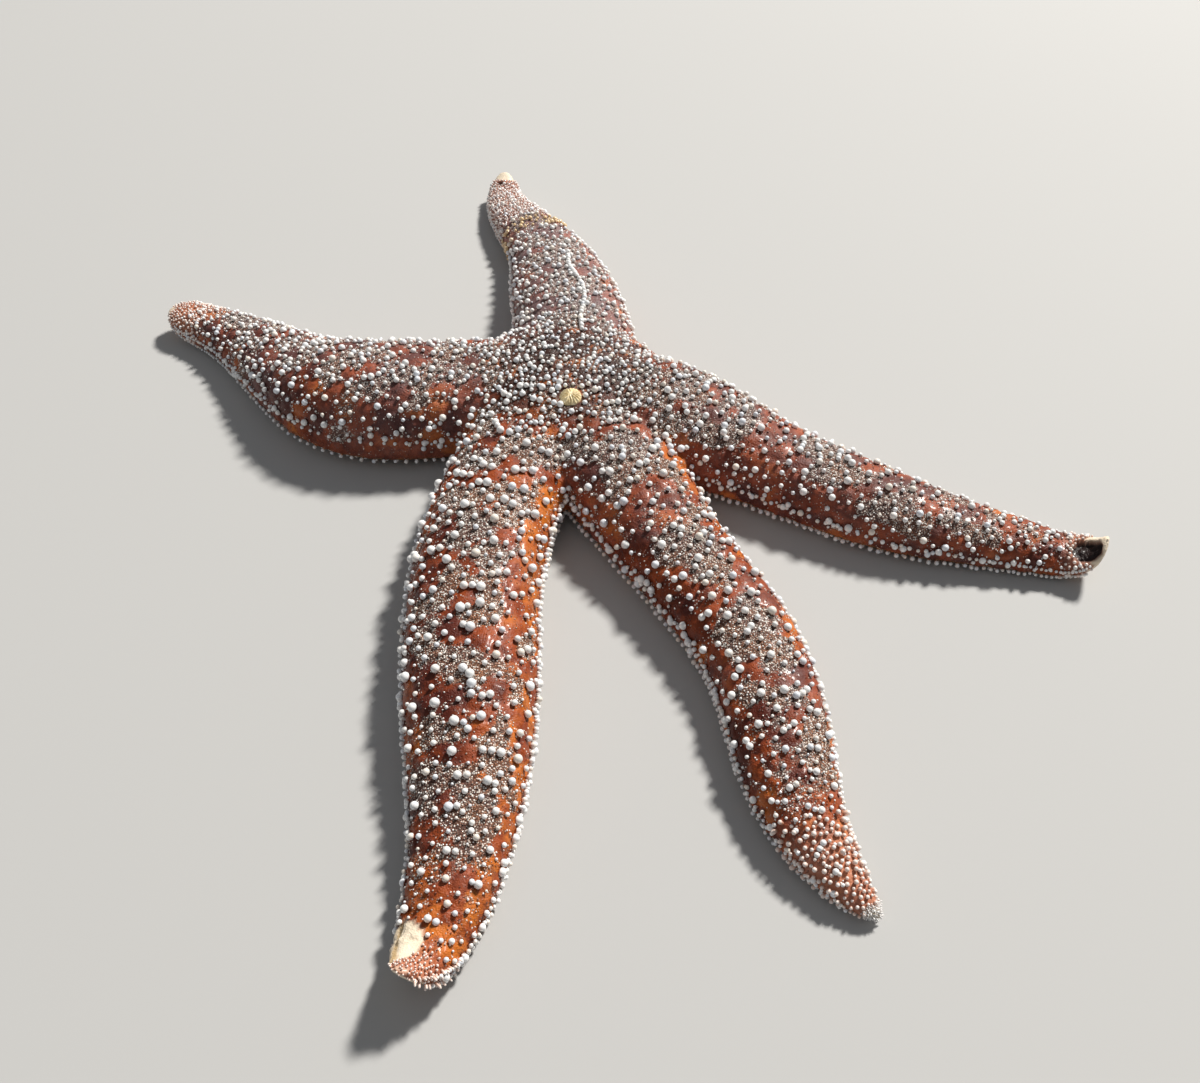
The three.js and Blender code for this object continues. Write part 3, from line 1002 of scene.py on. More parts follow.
@dataclass
class Coat:
    """Everything that grows on the skin, kept by region until it is joined into pieces."""

    ground: Ground
    rng: np.random.Generator
    disc_reach: float = 23 * MM
    flat_map: float = 64 * MM

    def grow(self, kind: Kind, roots: Roots, radius: np.ndarray, tilt: float = 0.12,
             lean: np.ndarray | None = None, stretch: float = 0.1) -> Growth:
        """Gives each root a part of the kind, leaning a little its own way.

        Args:
            kind: Kind of part.
            roots: Where they grow.
            radius: Their radii.
            tilt: How far they lean at random.
            lean: Their directions, or None for the skin's normals.
            stretch: How much their heights differ.

        Returns:
            The growth.
        """
        count = len(roots)
        base = roots.normals if lean is None else lean
        lean = unit(base + tilt * self.rng.normal(size=(count, 3)))
        stretched = 1 + stretch * self.rng.uniform(-1, 1, count)
        return Growth(kind, roots, lean, radius, self.rng.random(count), stretched)

    def chart(self, roots: Roots, on_disc: bool) -> np.ndarray:
        """Gives the roots' places on the unwrapped skin: arms by length and girth, the disc from above.

        Args:
            roots: The roots.
            on_disc: Whether they are the disc's.

        Returns:
            Map coordinates, one pair per root.
        """
        if on_disc:
            return 0.5 + (roots.points - self.ground.body.centre)[:, :2] / self.flat_map
        turned = (roots.places.angle / (2 * math.pi) + 0.25) % 1.0
        return CHART_START + CHART_SIZE * np.column_stack([roots.places.share, turned])

    def join(self, name: str, growths: list[Growth], on_disc: bool = False) -> bpy.types.Object:
        """Joins growths into one piece.

        Args:
            name: The piece's name.
            growths: What it holds.
            on_disc: Whether it grows on the disc.

        Returns:
            The piece.
        """
        points, faces, patches, painted, base = [], [], [], {}, 0
        for growth in growths:
            shape, count = growth.kind.value, len(growth.roots)
            if not count:
                continue
            side = unit(np.cross(growth.lean, unit(self.rng.normal(size=(count, 3)))))
            axes = np.stack([side, np.cross(growth.lean, side), growth.lean], 1)
            axes *= growth.radius[:, None, None]
            axes[:, 2] *= growth.stretch[:, None]
            placed = np.einsum("mk,nkj->nmj", shape.points, axes) + growth.roots.points[:, None, :]
            points.append(placed.reshape(-1, 3))
            size = len(shape.points)
            faces.append((shape.faces[None] + (base + size * np.arange(count))[:, None, None]).reshape(-1))
            base += size * count
            chart = self.chart(growth.roots, on_disc)[:, None, None, :]
            patches.append((chart + PATCH * shape.patch[None]).reshape(-1, 2))
            rows = {"rise": np.tile(shape.rise, count), "own": np.repeat(growth.tone, size)}
            rows |= {mark.value: np.repeat(values, size) for mark, values in growth.roots.marks.items()}
            for key, values in rows.items():
                painted.setdefault(key, []).append(values)
        places = np.vstack(points)
        places[:, 2] = np.maximum(places[:, 2], 0.0)
        corners = np.concatenate(faces).astype(np.int32)
        mesh = bpy.data.meshes.new(name)
        mesh.vertices.add(len(places))
        mesh.vertices.foreach_set("co", places.astype(np.float32).ravel())
        mesh.loops.add(len(corners))
        mesh.loops.foreach_set("vertex_index", corners)
        mesh.polygons.add(len(corners) // 3)
        mesh.polygons.foreach_set("loop_start", np.arange(0, len(corners), 3, dtype=np.int32))
        mesh.update(calc_edges=True)
        mesh.polygons.foreach_set("use_smooth", np.ones(len(corners) // 3, bool))
        layer = mesh.uv_layers.new(name=UV_NAME)
        layer.data.foreach_set("uv", np.vstack(patches).astype(np.float32).ravel())
        for key, values in painted.items():
            paint(mesh, key, np.concatenate(values))
        mesh.validate()
        LOG.info("%s: %d parts, %d triangles", name, sum(len(g.roots) for g in growths), len(corners) // 3)
        return put(name, mesh)


@dataclass
class Dorsal:
    """Round-headed spines and grains over the back."""

    coat: Coat
    big: float = 0.95 * MM
    medium: float = 0.6 * MM
    small: float = 0.36 * MM
    grain: float = 0.19 * MM
    big_room: float = 4.35 * MM
    medium_room: float = 2.5 * MM
    small_room: float = 1.62 * MM
    grain_room: float = 0.37 * MM
    disc_size: float = 0.82
    disc_spacing: float = 0.56
    plate_gap: float = 0.4 * MM
    band: float = 0.42
    candidates: int = 90000
    grain_candidates: int = 150000
    companion_odds: tuple[float, ...] = (0.36, 0.34, 0.2, 0.1)
    keel_angle: float = 98.0
    keel_radius: float = 0.7 * MM
    keel_spacing: float = 1.35 * MM

    def scale(self, roots: Roots) -> np.ndarray:
        """Gives the size of the spines at roots, over their usual size.

        Args:
            roots: The roots.

        Returns:
            A factor for each root.
        """
        places = roots.places
        sizes = self.coat.ground.body.per_arm(places, "spine_size")
        sizes *= 1 - 0.3 * smooth(0.55, 0.95, places.share)
        return np.where(places.radius < self.coat.disc_reach, self.disc_size, 1.0) * sizes

    def on_back(self, roots: Roots) -> np.ndarray:
        """Tells which roots are on the open back.

        Args:
            roots: The roots.

        Returns:
            A mask without the madreporite, the bare ends and the flanks' lower band.
        """
        low, high = (np.array(corner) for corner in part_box("madreporite"))
        away = np.hypot(*(roots.points - (low + high) / 2)[:, :2].T)
        places, marks = roots.places, roots.marks
        lowest = self.band * smooth(24 * MM, 40 * MM, places.radius) * smooth(0.99, 0.8, places.share)
        whole = (marks[Mark.SOLE] < 0.1) & (marks[Mark.BARE] < BARE_LIMIT) & (marks[Mark.HOLLOW] < 0.2)
        clear = away > (high[0] - low[0]) / 2 + self.plate_gap
        return clear & (np.sin(places.angle) > lowest) & whole & (places.share < 0.95)

    def rows(self, heads: Roots) -> tuple[Roots, np.ndarray]:
        """Sets companions beside leading spines, in short rows across the arm.

        Args:
            heads: Roots of the leading spines.

        Returns:
            Roots of the companions, and their sizes over the leaders'.
        """
        rng, arms, places = self.coat.rng, self.coat.ground.body.arms, heads.places
        count = len(heads)
        across = np.array([arms[arm].axes(share)[1] for arm, share in zip(places.arm, places.share)])
        swing = rng.normal(0, 0.5, count)[:, None]
        line = np.cos(swing) * across + np.sin(swing) * np.cross(heads.normals, across)
        line = unit(line - heads.normals * (line * heads.normals).sum(1)[:, None])
        line *= rng.choice([-1.0, 1.0], count)[:, None]
        many = rng.choice(len(self.companion_odds), count, p=self.companion_odds)
        points, sizes = [], []
        size = self.scale(heads)
        for step in range(1, len(self.companion_odds)):
            chosen = many >= step
            ratio = rng.uniform(0.6, 1.0, count)
            gap = self.big * size * (0.92 + ratio) * (1.05 if step == 1 else 1.0)
            bend = 0.35 * (step - 1) * rng.normal(size=(count, 3))
            points.append((heads.points + unit(line + bend) * (step * gap)[:, None])[chosen])
            sizes.append(ratio[chosen])
        near, kept = self.coat.ground.nearest(np.vstack(points), REACH)
        return near, np.concatenate(sizes)[kept]

    def build(self) -> dict[int, list[Growth]]:
        """Grows the back's spines.

        Returns:
            Growths by region: an arm's number, or -1 for the disc.
        """
        coat, rng = self.coat, self.coat.rng
        spots = coat.ground.scatter(self.candidates, rng)
        spots = spots.take(self.on_back(spots))
        scale = self.scale(spots)
        spacing = coat.ground.body.per_arm(spots.places, "spacing")
        spacing = np.where(spots.places.radius < coat.disc_reach, self.disc_spacing, spacing)
        spacing *= 1 - 0.25 * smooth(0.6, 0.95, spots.places.share)
        leaders = np.flatnonzero(spots.marks[Mark.RIDGE] > 0.35)
        leaders = leaders[sift(spots.points[leaders], (self.big_room * spacing)[leaders], rng)]
        heads = spots.take(leaders)
        companions, ratio = self.rows(heads)
        girth = self.big * self.scale(heads)
        taken: list[Entry] = [(*point, 1.9 * room) for point, room in zip(heads.points.tolist(), girth)]
        radius = self.big * self.scale(companions) * ratio
        kept = sift(companions.points, 1.86 * radius, rng, taken)
        kept = kept[self.on_back(companions.take(kept))]
        growths = [coat.grow(Kind.BIG, heads, girth * rng.uniform(0.78, 1.06, len(heads))),
                   coat.grow(Kind.BIG, companions.take(kept), radius[kept])]
        for kind, size, room, least in ((Kind.MEDIUM, self.medium, self.medium_room, 0.25),
                                        (Kind.SMALL, self.small, self.small_room, 0.1)):
            free = np.flatnonzero(np.maximum(spots.marks[Mark.RIDGE], 0.8 * spots.marks[Mark.GRAIN]) > least)
            free = free[sift(spots.points[free], (room * spacing)[free], rng, taken)]
            roots = spots.take(free)
            growths.append(coat.grow(kind, roots, size * scale[free] * rng.uniform(0.82, 1.15, len(free))))
        return self.sort(growths + [self.keel()])

    def keel(self) -> Growth:
        """Grows the close row of spines along the back of each arm that has one.

        Returns:
            Their growth.
        """
        points = []
        for arm in self.coat.ground.body.arms:
            if arm.plan.keel:
                share = np.arange(0.13, 0.42, self.keel_spacing / arm.length)
                points.append(arm.surface(share, math.radians(self.keel_angle) + 0.05 * np.sin(share * 30)))
        roots, _ = self.coat.ground.nearest(np.vstack(points), REACH)
        radius = self.keel_radius * self.coat.rng.uniform(0.85, 1.12, len(roots))
        return self.coat.grow(Kind.BIG, roots, radius, tilt=0.15)

    def sort(self, growths: list[Growth]) -> dict[int, list[Growth]]:
        """Sorts growths by region.

        Args:
            growths: Growths from anywhere on the body.

        Returns:
            Growths by region, as build does.
        """
        regions: dict[int, list[Growth]] = {}
        for growth in growths:
            places = growth.roots.places
            region = np.where(places.radius < self.coat.disc_reach, -1, places.arm)
            for number in np.unique(region).tolist():
                regions.setdefault(number, []).append(growth.take(region == number))
        return regions

    def grains(self) -> dict[int, list[Growth]]:
        """Grows the fine grains between the spines.

        Returns:
            Growths by region, as build does.
        """
        coat, rng = self.coat, self.coat.rng
        spots = coat.ground.scatter(self.grain_candidates, rng, Mark.GRIT)
        spots = spots.take(self.on_back(spots))
        kept = sift(spots.points, self.grain_room * rng.uniform(0.8, 1.5, len(spots)), rng)
        roots = spots.take(kept)
        radius = self.grain * rng.uniform(0.6, 1.25, len(roots))
        return self.sort([coat.grow(Kind.GRAIN, roots, radius, tilt=0.8, stretch=0.25)])


@dataclass
class Margin:
    """Close rows of spines along the lower flanks."""

    coat: Coat
    radius: float = 0.54 * MM
    spacing: float = 1.7 * MM
    angles: tuple[float, ...] = (6.0, -16.0, -38.0)
    sizes: tuple[float, ...] = (1.0, 1.05, 0.95)
    start: float = 0.1
    end: float = 0.965
    mouth_gap: float = 14 * MM

    def build(self) -> dict[int, list[Growth]]:
        """Grows the rows of each arm.

        Returns:
            Growths by arm.
        """
        grown = {number: [] for number in range(len(ARM_PLANS))}
        ground = self.coat.ground
        sides = product(enumerate(ground.body.arms), enumerate(zip(self.angles, self.sizes)), (1, -1))
        for (number, arm), (row, (degrees, size)), side in sides:
            roots, _ = ground.nearest(arm.flank(self.shares(arm, row), degrees, side), EDGE_REACH)
            own = (roots.places.arm == number) | (roots.places.off > 0.85)
            own &= (roots.places.radius > self.mouth_gap) & (roots.marks[Mark.BARE] < BARE_LIMIT)
            roots = roots.take(own)
            scale = arm.plan.spine_size * (1 - 0.35 * smooth(0.6, 0.97, roots.places.share)) * size
            radius = self.radius * scale * self.coat.rng.uniform(0.88, 1.1, len(roots))
            lean = unit(roots.normals + np.array([0, 0, 0.15]))
            grown[number].append(self.coat.grow(Kind.MARGIN, roots, radius, tilt=0.1, lean=lean))
        return grown

    def shares(self, arm: Arm, row: int) -> np.ndarray:
        """Finds where a row's spines stand, closer towards the arm's tip.

        Args:
            arm: The arm.
            row: The row's number.

        Returns:
            Shares of the arm's length.
        """
        share, shares = self.start + 0.5 * (row % 2) * self.spacing / arm.length, []
        while share < self.end:
            shares.append(share)
            close = 1 - 0.4 * float(smooth(0.5, 0.95, np.array(share)))
            share += self.spacing * close * self.coat.rng.uniform(0.9, 1.1) / arm.length
        return np.array(shares)


@dataclass
class Underside:
    """Spines along the feet's groove and round the mouth, and the tube feet."""

    coat: Coat
    spine_radius: float = 0.26 * MM
    spine_spacing: float = 1.05 * MM
    spine_leans: tuple[tuple[float, float], ...] = ((-0.75, 0.75), (0.5, 0.9), (1.1, 0.55))
    foot_radius: float = 0.52 * MM
    foot_spacing: float = 1.5 * MM
    foot_rows: tuple[float, ...] = (-0.68, -0.24, 0.24, 0.68)
    jaw_spines: int = 7
    jaw_radius: float = 0.36 * MM
    jaw_spread: float = 0.085

    def spines(self, arm: Arm) -> list[Growth]:
        """Grows the flat-lying spines on both sides of an arm's groove.

        Args:
            arm: The arm.

        Returns:
            A growth for each row.
        """
        rng, grown = self.coat.rng, []
        for side, (row, (outward, upward)) in product((1, -1), enumerate(self.spine_leans)):
            share = np.arange(0.07 + 0.003 * row, GROOVE_END, self.spine_spacing / arm.length)
            width = arm.width(share)
            left = side * (GROOVE_WIDTH / 2 * width + (0.15 + 0.75 * row) * MM * width / (26 * MM))
            _, across, above = arm.axes(share)
            points = arm.centre(share) + across * left[:, None] + above * SOLE_CLEARANCE
            roots, _ = self.coat.ground.nearest(points, 1.5 * MM)
            roots = roots.take(roots.marks[Mark.BARE] < BARE_LIMIT)
            across = arm.axes(roots.places.share)[1]
            lean = across * (outward * side) + roots.normals * upward
            scale = np.clip(arm.width(roots.places.share) / (24 * MM), 0.45, 1)
            radius = self.spine_radius * scale * rng.uniform(0.85, 1.15, len(roots))
            grown.append(self.coat.grow(Kind.SOLE, roots, radius, tilt=0.14, lean=lean))
        return grown

    def jaws(self) -> list[Growth]:
        """Grows the longer spines that cross over the mouth from its five corners.

        Returns:
            Their growth.
        """
        body = self.coat.ground.body
        headings = sorted(math.atan2(*(arm.centre(0.2) - body.centre)[1::-1]) for arm in body.arms)
        headings.append(headings[0] + 2 * math.pi)
        points, leans = [], []
        for first, second in zip(headings, headings[1:]):
            middle = (first + second) / 2
            for k in range(self.jaw_spines):
                turn = middle + self.jaw_spread * (k - (self.jaw_spines - 1) / 2)
                away = np.array([math.cos(turn), math.sin(turn), 0.0])
                points.append(body.centre + away * (MOUTH_RADIUS + (0.5 + 0.7 * (k % 2)) * MM))
                leans.append(-away - np.array([0, 0, 0.12 + 0.12 * (k % 2)]))
        roots, kept = self.coat.ground.nearest(np.array(points), REACH)
        radius = self.jaw_radius * self.coat.rng.uniform(0.9, 1.1, len(roots))
        return [self.coat.grow(Kind.ORAL, roots, radius, tilt=0.08, lean=np.array(leans)[kept])]

    def feet(self, arm: Arm) -> list[Growth]:
        """Grows the rows of tube feet in an arm's groove, down to the floor or nearly so.

        Args:
            arm: The arm.

        Returns:
            A growth for each row.
        """
        rng, grown = self.coat.rng, []
        for row, place in enumerate(self.foot_rows):
            start = 0.075 + 0.5 * (row % 2) * self.foot_spacing / arm.length
            share = np.arange(start, 0.9, self.foot_spacing / arm.length)
            width = arm.width(share)
            left, roof = place * GROOVE_WIDTH / 2 * width, GROOVE_DEPTH * ARM_HEIGHT * width
            _, across, above = arm.axes(share)
            points = arm.centre(share) + across * left[:, None] + above * roof[:, None]
            roots, _ = self.coat.ground.nearest(points, REACH)
            above = arm.axes(roots.places.share)[2]
            scale = np.clip(arm.width(roots.places.share) / (26 * MM), 0.4, 1)
            radius = self.foot_radius * scale * rng.uniform(0.85, 1.12, len(roots))
            lean = unit(-above + 0.22 * rng.normal(size=above.shape))
            drop = ((roots.points - arm.centre(roots.places.share)) * above).sum(1)
            growth = self.coat.grow(Kind.FOOT, roots, radius, tilt=0.0, lean=lean, stretch=0.0)
            growth.stretch = np.maximum(drop * rng.uniform(0.72, 0.97, len(roots)), 0.8 * MM) / radius
            grown.append(growth)
        return grown


@dataclass
class Tips:
    """Small spines that crowd over the arms' ends, the fringe below them, and tufts of feelers."""

    coat: Coat
    room: float = 2.45
    fringe: float = 0.23 * MM
    fringe_spacing: float = 0.72 * MM
    fringe_angles: tuple[float, ...] = (10.0, -14.0, -34.0)
    fringe_end: float = 0.985
    feeler: float = 0.13 * MM
    feeler_room: float = 0.24 * MM
    candidates: int = 60000
    feeler_candidates: int = 30000

    def build(self) -> dict[int, list[Growth]]:
        """Grows the crowds and fringes.

        Returns:
            Growths by arm.
        """
        rng, body = self.coat.rng, self.coat.ground.body
        spots = self.coat.ground.scatter(self.candidates, rng, Mark.TIP)
        marks = spots.marks
        free = (marks[Mark.BARE] < 0.35) & (marks[Mark.HOLLOW] < 0.2) & (marks[Mark.SOLE] < 0.5)
        free &= (np.sin(spots.places.angle) > -0.75) & (rng.random(len(spots)) < marks[Mark.TIP])
        spots = spots.take(free)
        size = MM * body.per_tip(spots.places, "crowd_mm")
        size *= rng.uniform(0.75, 1.15, len(spots)) * (1 - 0.3 * smooth(0.93, 0.99, spots.places.share))
        kept = sift(spots.points, self.room * size, rng)
        roots, radius = spots.take(kept), size[kept]
        grown = {}
        for number, arm in enumerate(body.arms):
            own = roots.places.arm == number
            kind = Kind.PEARL if arm.plan.tip.pearls else Kind.FINE
            grown[number] = [self.coat.grow(kind, roots.take(own), radius[own], tilt=0.15, stretch=0.3)]
            if not arm.plan.tip.pearls:
                grown[number] += self.edges(arm)
        return grown

    def edges(self, arm: Arm) -> list[Growth]:
        """Grows the fringe of slender spines along both edges of an arm's end.

        Args:
            arm: The arm.

        Returns:
            A growth for each row.
        """
        rng, grown = self.coat.rng, []
        first, last = arm.plan.tip.crowd_from - 0.02, min(arm.plan.tip.cap_from, self.fringe_end)
        share = np.arange(first, last, self.fringe_spacing / arm.length)
        for degrees, side in product(self.fringe_angles, (1, -1)):
            roots, _ = self.coat.ground.nearest(arm.flank(share, degrees, side), EDGE_REACH)
            roots = roots.take(roots.marks[Mark.BARE] < 0.6)
            radius = self.fringe * rng.uniform(0.8, 1.15, len(roots))
            grown.append(self.coat.grow(Kind.FRINGE, roots, radius, tilt=0.16, stretch=0.25))
        return grown

    def tuft(self, number: int) -> list[Growth]:
        """Grows the tuft of feelers on an arm's bare end.

        Args:
            number: The arm's number.

        Returns:
            Their growth.
        """
        rng = self.coat.rng
        roots = self.coat.ground.scatter(self.feeler_candidates, rng, Mark.BARE)
        plan = self.coat.ground.body.arms[number].plan.tip
        roots = roots.take((roots.places.arm == number) & (roots.places.share > plan.bare_from))
        roots = roots.take(sift(roots.points, np.full(len(roots), self.feeler_room), rng))
        radius = self.feeler * rng.uniform(0.8, 1.2, len(roots))
        return [self.coat.grow(Kind.FEELER, roots, radius, tilt=0.25, stretch=0.3)]


@dataclass
class Madreporite:
    """Round sieve plate with winding radial ridges, in place of the frame's button."""

    ground: Ground
    segments: int = 144
    rings: int = 26
    ridges: int = 19
    ridge_height: float = 0.17 * MM
    thickness: float = 1.35 * MM
    stand: float = 0.75 * MM
    weld: float = 0.001 * MM

    def build(self) -> bpy.types.Object:
        """Makes the plate.

        Returns:
            The plate's object.
        """
        low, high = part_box("madreporite")
        radius = (high.x - low.x) / 2 * 0.94
        middle = (low + high) / 2
        hit, normal, _, _ = self.ground.tree.ray_cast((middle.x, middle.y, 1.0), (0, 0, -1))
        profile = []
        for k in range(self.rings + 1):
            angle = math.pi * (k / self.rings - 0.28) / 1.44
            reach = max(radius * math.cos(angle), 0.0) if k < self.rings else 0.0
            profile.append((reach, self.thickness * math.sin(angle)))
        bm = spin(profile, self.segments, self.weld)
        bmesh.ops.recalc_face_normals(bm, faces=bm.faces)
        for vertex in bm.verts:
            reach = math.hypot(vertex.co.x, vertex.co.y) / radius
            turn = math.atan2(vertex.co.y, vertex.co.x)
            wind = 1.3 * noise.noise(vertex.co / (0.9 * MM)) + 1.2 * reach
            count = self.ridges if reach > 0.55 else self.ridges // 2
            wave = math.cos(count * turn + wind) * float(smooth(0.12, 0.35, np.array(reach)))
            vertex.co.z += self.ridge_height * wave * (1 - 0.5 * reach**4)
            wobble = 1 + 0.06 * noise.noise(Vector((math.cos(turn), math.sin(turn), 0.3)) * 1.4)
            vertex.co.x *= wobble
            vertex.co.y *= wobble
        upright = Vector((0, 0, 1)).lerp(normal, 0.7).normalized()
        turned = Vector((0, 0, 1)).rotation_difference(upright).to_matrix().to_4x4()
        place = Matrix.Translation(hit + upright * (self.stand - self.thickness * 0.75))
        bmesh.ops.transform(bm, verts=bm.verts, matrix=place @ turned)
        return put("madreporite_plate", mesh_of(bm))


@dataclass
class Mouth:
    """Wrinkled membrane round the mouth's small opening, in place of the frame's ring."""

    body: Body
    segments: int = 120
    rings: int = 18
    hole: float = 1.3 * MM
    wrinkles: int = 22
    wrinkle: float = 0.16 * MM
    weld: float = 0.001 * MM

    def build(self) -> bpy.types.Object:
        """Makes the membrane.

        Returns:
            The membrane's object.
        """
        low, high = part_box("mouth")
        outer = (high.x - low.x) / 2
        half = (outer - self.hole) / 2
        middle, depth = (low.z + high.z) / 2, (high.z - low.z) / 2
        angles = [2 * math.pi * k / self.rings for k in range(self.rings)]
        profile = [(self.hole + half * (1 + math.cos(angle)), middle + depth * 0.95 * math.sin(angle))
                   for angle in angles]
        bm = spin(profile, self.segments, self.weld, closed=True)
        for vertex in bm.verts:
            reach = math.hypot(vertex.co.x, vertex.co.y)
            turn = math.atan2(vertex.co.y, vertex.co.x)
            wind = 0.9 * noise.noise(vertex.co / (2 * MM))
            inner = 1 - (reach - self.hole) / (outer - self.hole)
            fold = self.wrinkle * math.cos(self.wrinkles * turn + wind) * (0.4 + inner)
            vertex.co.z = min(max(vertex.co.z + fold, low.z), high.z)
            pinch = 1 - 0.05 * inner * math.cos(5 * turn)
            vertex.co.x *= pinch
            vertex.co.y *= pinch
        bmesh.ops.translate(bm, verts=bm.verts, vec=Vector(self.body.centre))
        bmesh.ops.recalc_face_normals(bm, faces=bm.faces)
        return put("mouth_membrane", mesh_of(bm))


class Signal:
    """A value inside a shader, on which Python's operators add Math nodes."""

    def __init__(self, bench: "Bench", socket: bpy.types.NodeSocket) -> None:
        """Wraps a node's output socket."""
        self.bench = bench
        self.socket = socket

    def _math(self, operation: str, first: object, second: object) -> "Signal":
        """Adds a Math node."""
        return self.bench.node("ShaderNodeMath", {"operation": operation}, {0: first, 1: second})

    def __add__(self, other: object) -> "Signal":
        """Adds."""
        return self._math("ADD", self, other)

    def __sub__(self, other: object) -> "Signal":
        """Subtracts."""
        return self._math("SUBTRACT", self, other)

    def __rsub__(self, other: object) -> "Signal":
        """Subtracts this value from a number."""
        return self._math("SUBTRACT", other, self)

    def __mul__(self, other: object) -> "Signal":
        """Multiplies."""
        return self._math("MULTIPLY", self, other)

    __radd__ = __add__
    __rmul__ = __mul__

    def least(self, other: object) -> "Signal":
        """Gives the smaller of two values."""
        return self._math("MINIMUM", self, other)

    def step(self, low: float, high: float) -> "Signal":
        """Rises smoothly from 0 at low to 1 at high.

        Args:
            low: Value at which the step starts.
            high: Value at which it ends, which may be under low.

        Returns:
            The step.
        """
        if low > high:
            return 1 - self.step(high, low)
        settings = {"interpolation_type": "SMOOTHSTEP"}
        return self.bench.node("ShaderNodeMapRange", settings, {0: self, 1: low, 2: high})


Colour = tuple[float, float, float]
MIX_FIRST, MIX_SECOND, MIX_RESULT = 6, 7, 2
"""Numbers of the Mix node's colour sockets."""


class Bench:
    """One material's node tree, and the ways to add to it."""

    def __init__(self, name: str) -> None:
        """Starts an empty material.

        Args:
            name: The material's name.
        """
        self.material = bpy.data.materials.new(name)
        self.material.use_nodes = True
        self.tree = self.material.node_tree
        self.tree.nodes.clear()
        self.place = self.node("ShaderNodeTexCoord", output="Object")

    def node(self, kind: str, settings: dict | None = None, values: dict | None = None,
             output: int | str = 0) -> Signal | None:
        """Adds a node.

        Args:
            kind: Its type.
            settings: Its properties, set before its sockets.
            values: Values or links of its input sockets, by name or number.
            output: The output socket to hand back.

        Returns:
            The output, or None where the node has none.
        """
        node = self.tree.nodes.new(kind)
        for key, value in (settings or {}).items():
            setattr(node, key, value)
        for key, value in (values or {}).items():
            self.feed(node.inputs[key], value)
        return Signal(self, node.outputs[output]) if len(node.outputs) else None

    def feed(self, socket: bpy.types.NodeSocket, value: object) -> None:
        """Links a signal to a socket, or sets the socket's own value.

        Args:
            socket: The input socket.
            value: A signal, number, vector or colour.
        """
        if isinstance(value, Signal):
            self.tree.links.new(value.socket, socket)
        elif isinstance(value, tuple) and len(value) == 3 and socket.type == "RGBA":
            socket.default_value = (*value, 1.0)
        else:
            socket.default_value = value

    def mark(self, name: str) -> Signal:
        """Reads a number painted on the piece."""
        return self.node("ShaderNodeAttribute", {"attribute_name": name}, output="Fac")

    def cloud(self, size: float, detail: float = 2.0, rough: float = 0.5, warp: float = 0.0) -> Signal:
        """Gives smooth noise from 0 to 1 with features of a size in metres."""
        values = {"Vector": self.place, "Scale": 1 / size, "Detail": detail, "Roughness": rough,
                  "Distortion": warp}
        return self.node("ShaderNodeTexNoise", values=values)

    def cells(self, size: float, output: str = "Distance") -> Signal:
        """Gives the distance from, or the colour of, scattered cells of a size in metres."""
        values = {"Vector": self.place, "Scale": 1 / size}
        return self.node("ShaderNodeTexVoronoi", values=values, output=output)

    def mix(self, factor: object, first: object, second: object) -> Signal:
        """Mixes two colours."""
        values = {0: factor, MIX_FIRST: first, MIX_SECOND: second}
        return self.node("ShaderNodeMix", {"data_type": "RGBA"}, values, output=MIX_RESULT)

    def bump(self, height: Signal, distance: float, strength: float = 1.0,
             below: Signal | None = None) -> Signal:
        """Turns a height into a bent normal.

        Args:
            height: Height from 0 to 1.
            distance: What a height of 1 stands for, in metres.
            strength: How strongly it shows.
            below: Normal that it adds to, or None.

        Returns:
            The normal.
        """
        values = {"Height": height, "Distance": distance, "Strength": strength}
        if below is not None:
            values["Normal"] = below
        return self.node("ShaderNodeBump", values=values)

    def finish(self, **values: object) -> bpy.types.Material:
        """Adds the surface shader.

        Args:
            **values: Its sockets, with _ for a space.

        Returns:
            The material.
        """
        sockets = {key.replace("_", " "): value for key, value in values.items()}
        surface = self.node("ShaderNodeBsdfPrincipled", values=sockets)
        self.node("ShaderNodeOutputMaterial", values={"Surface": surface})
        return self.material


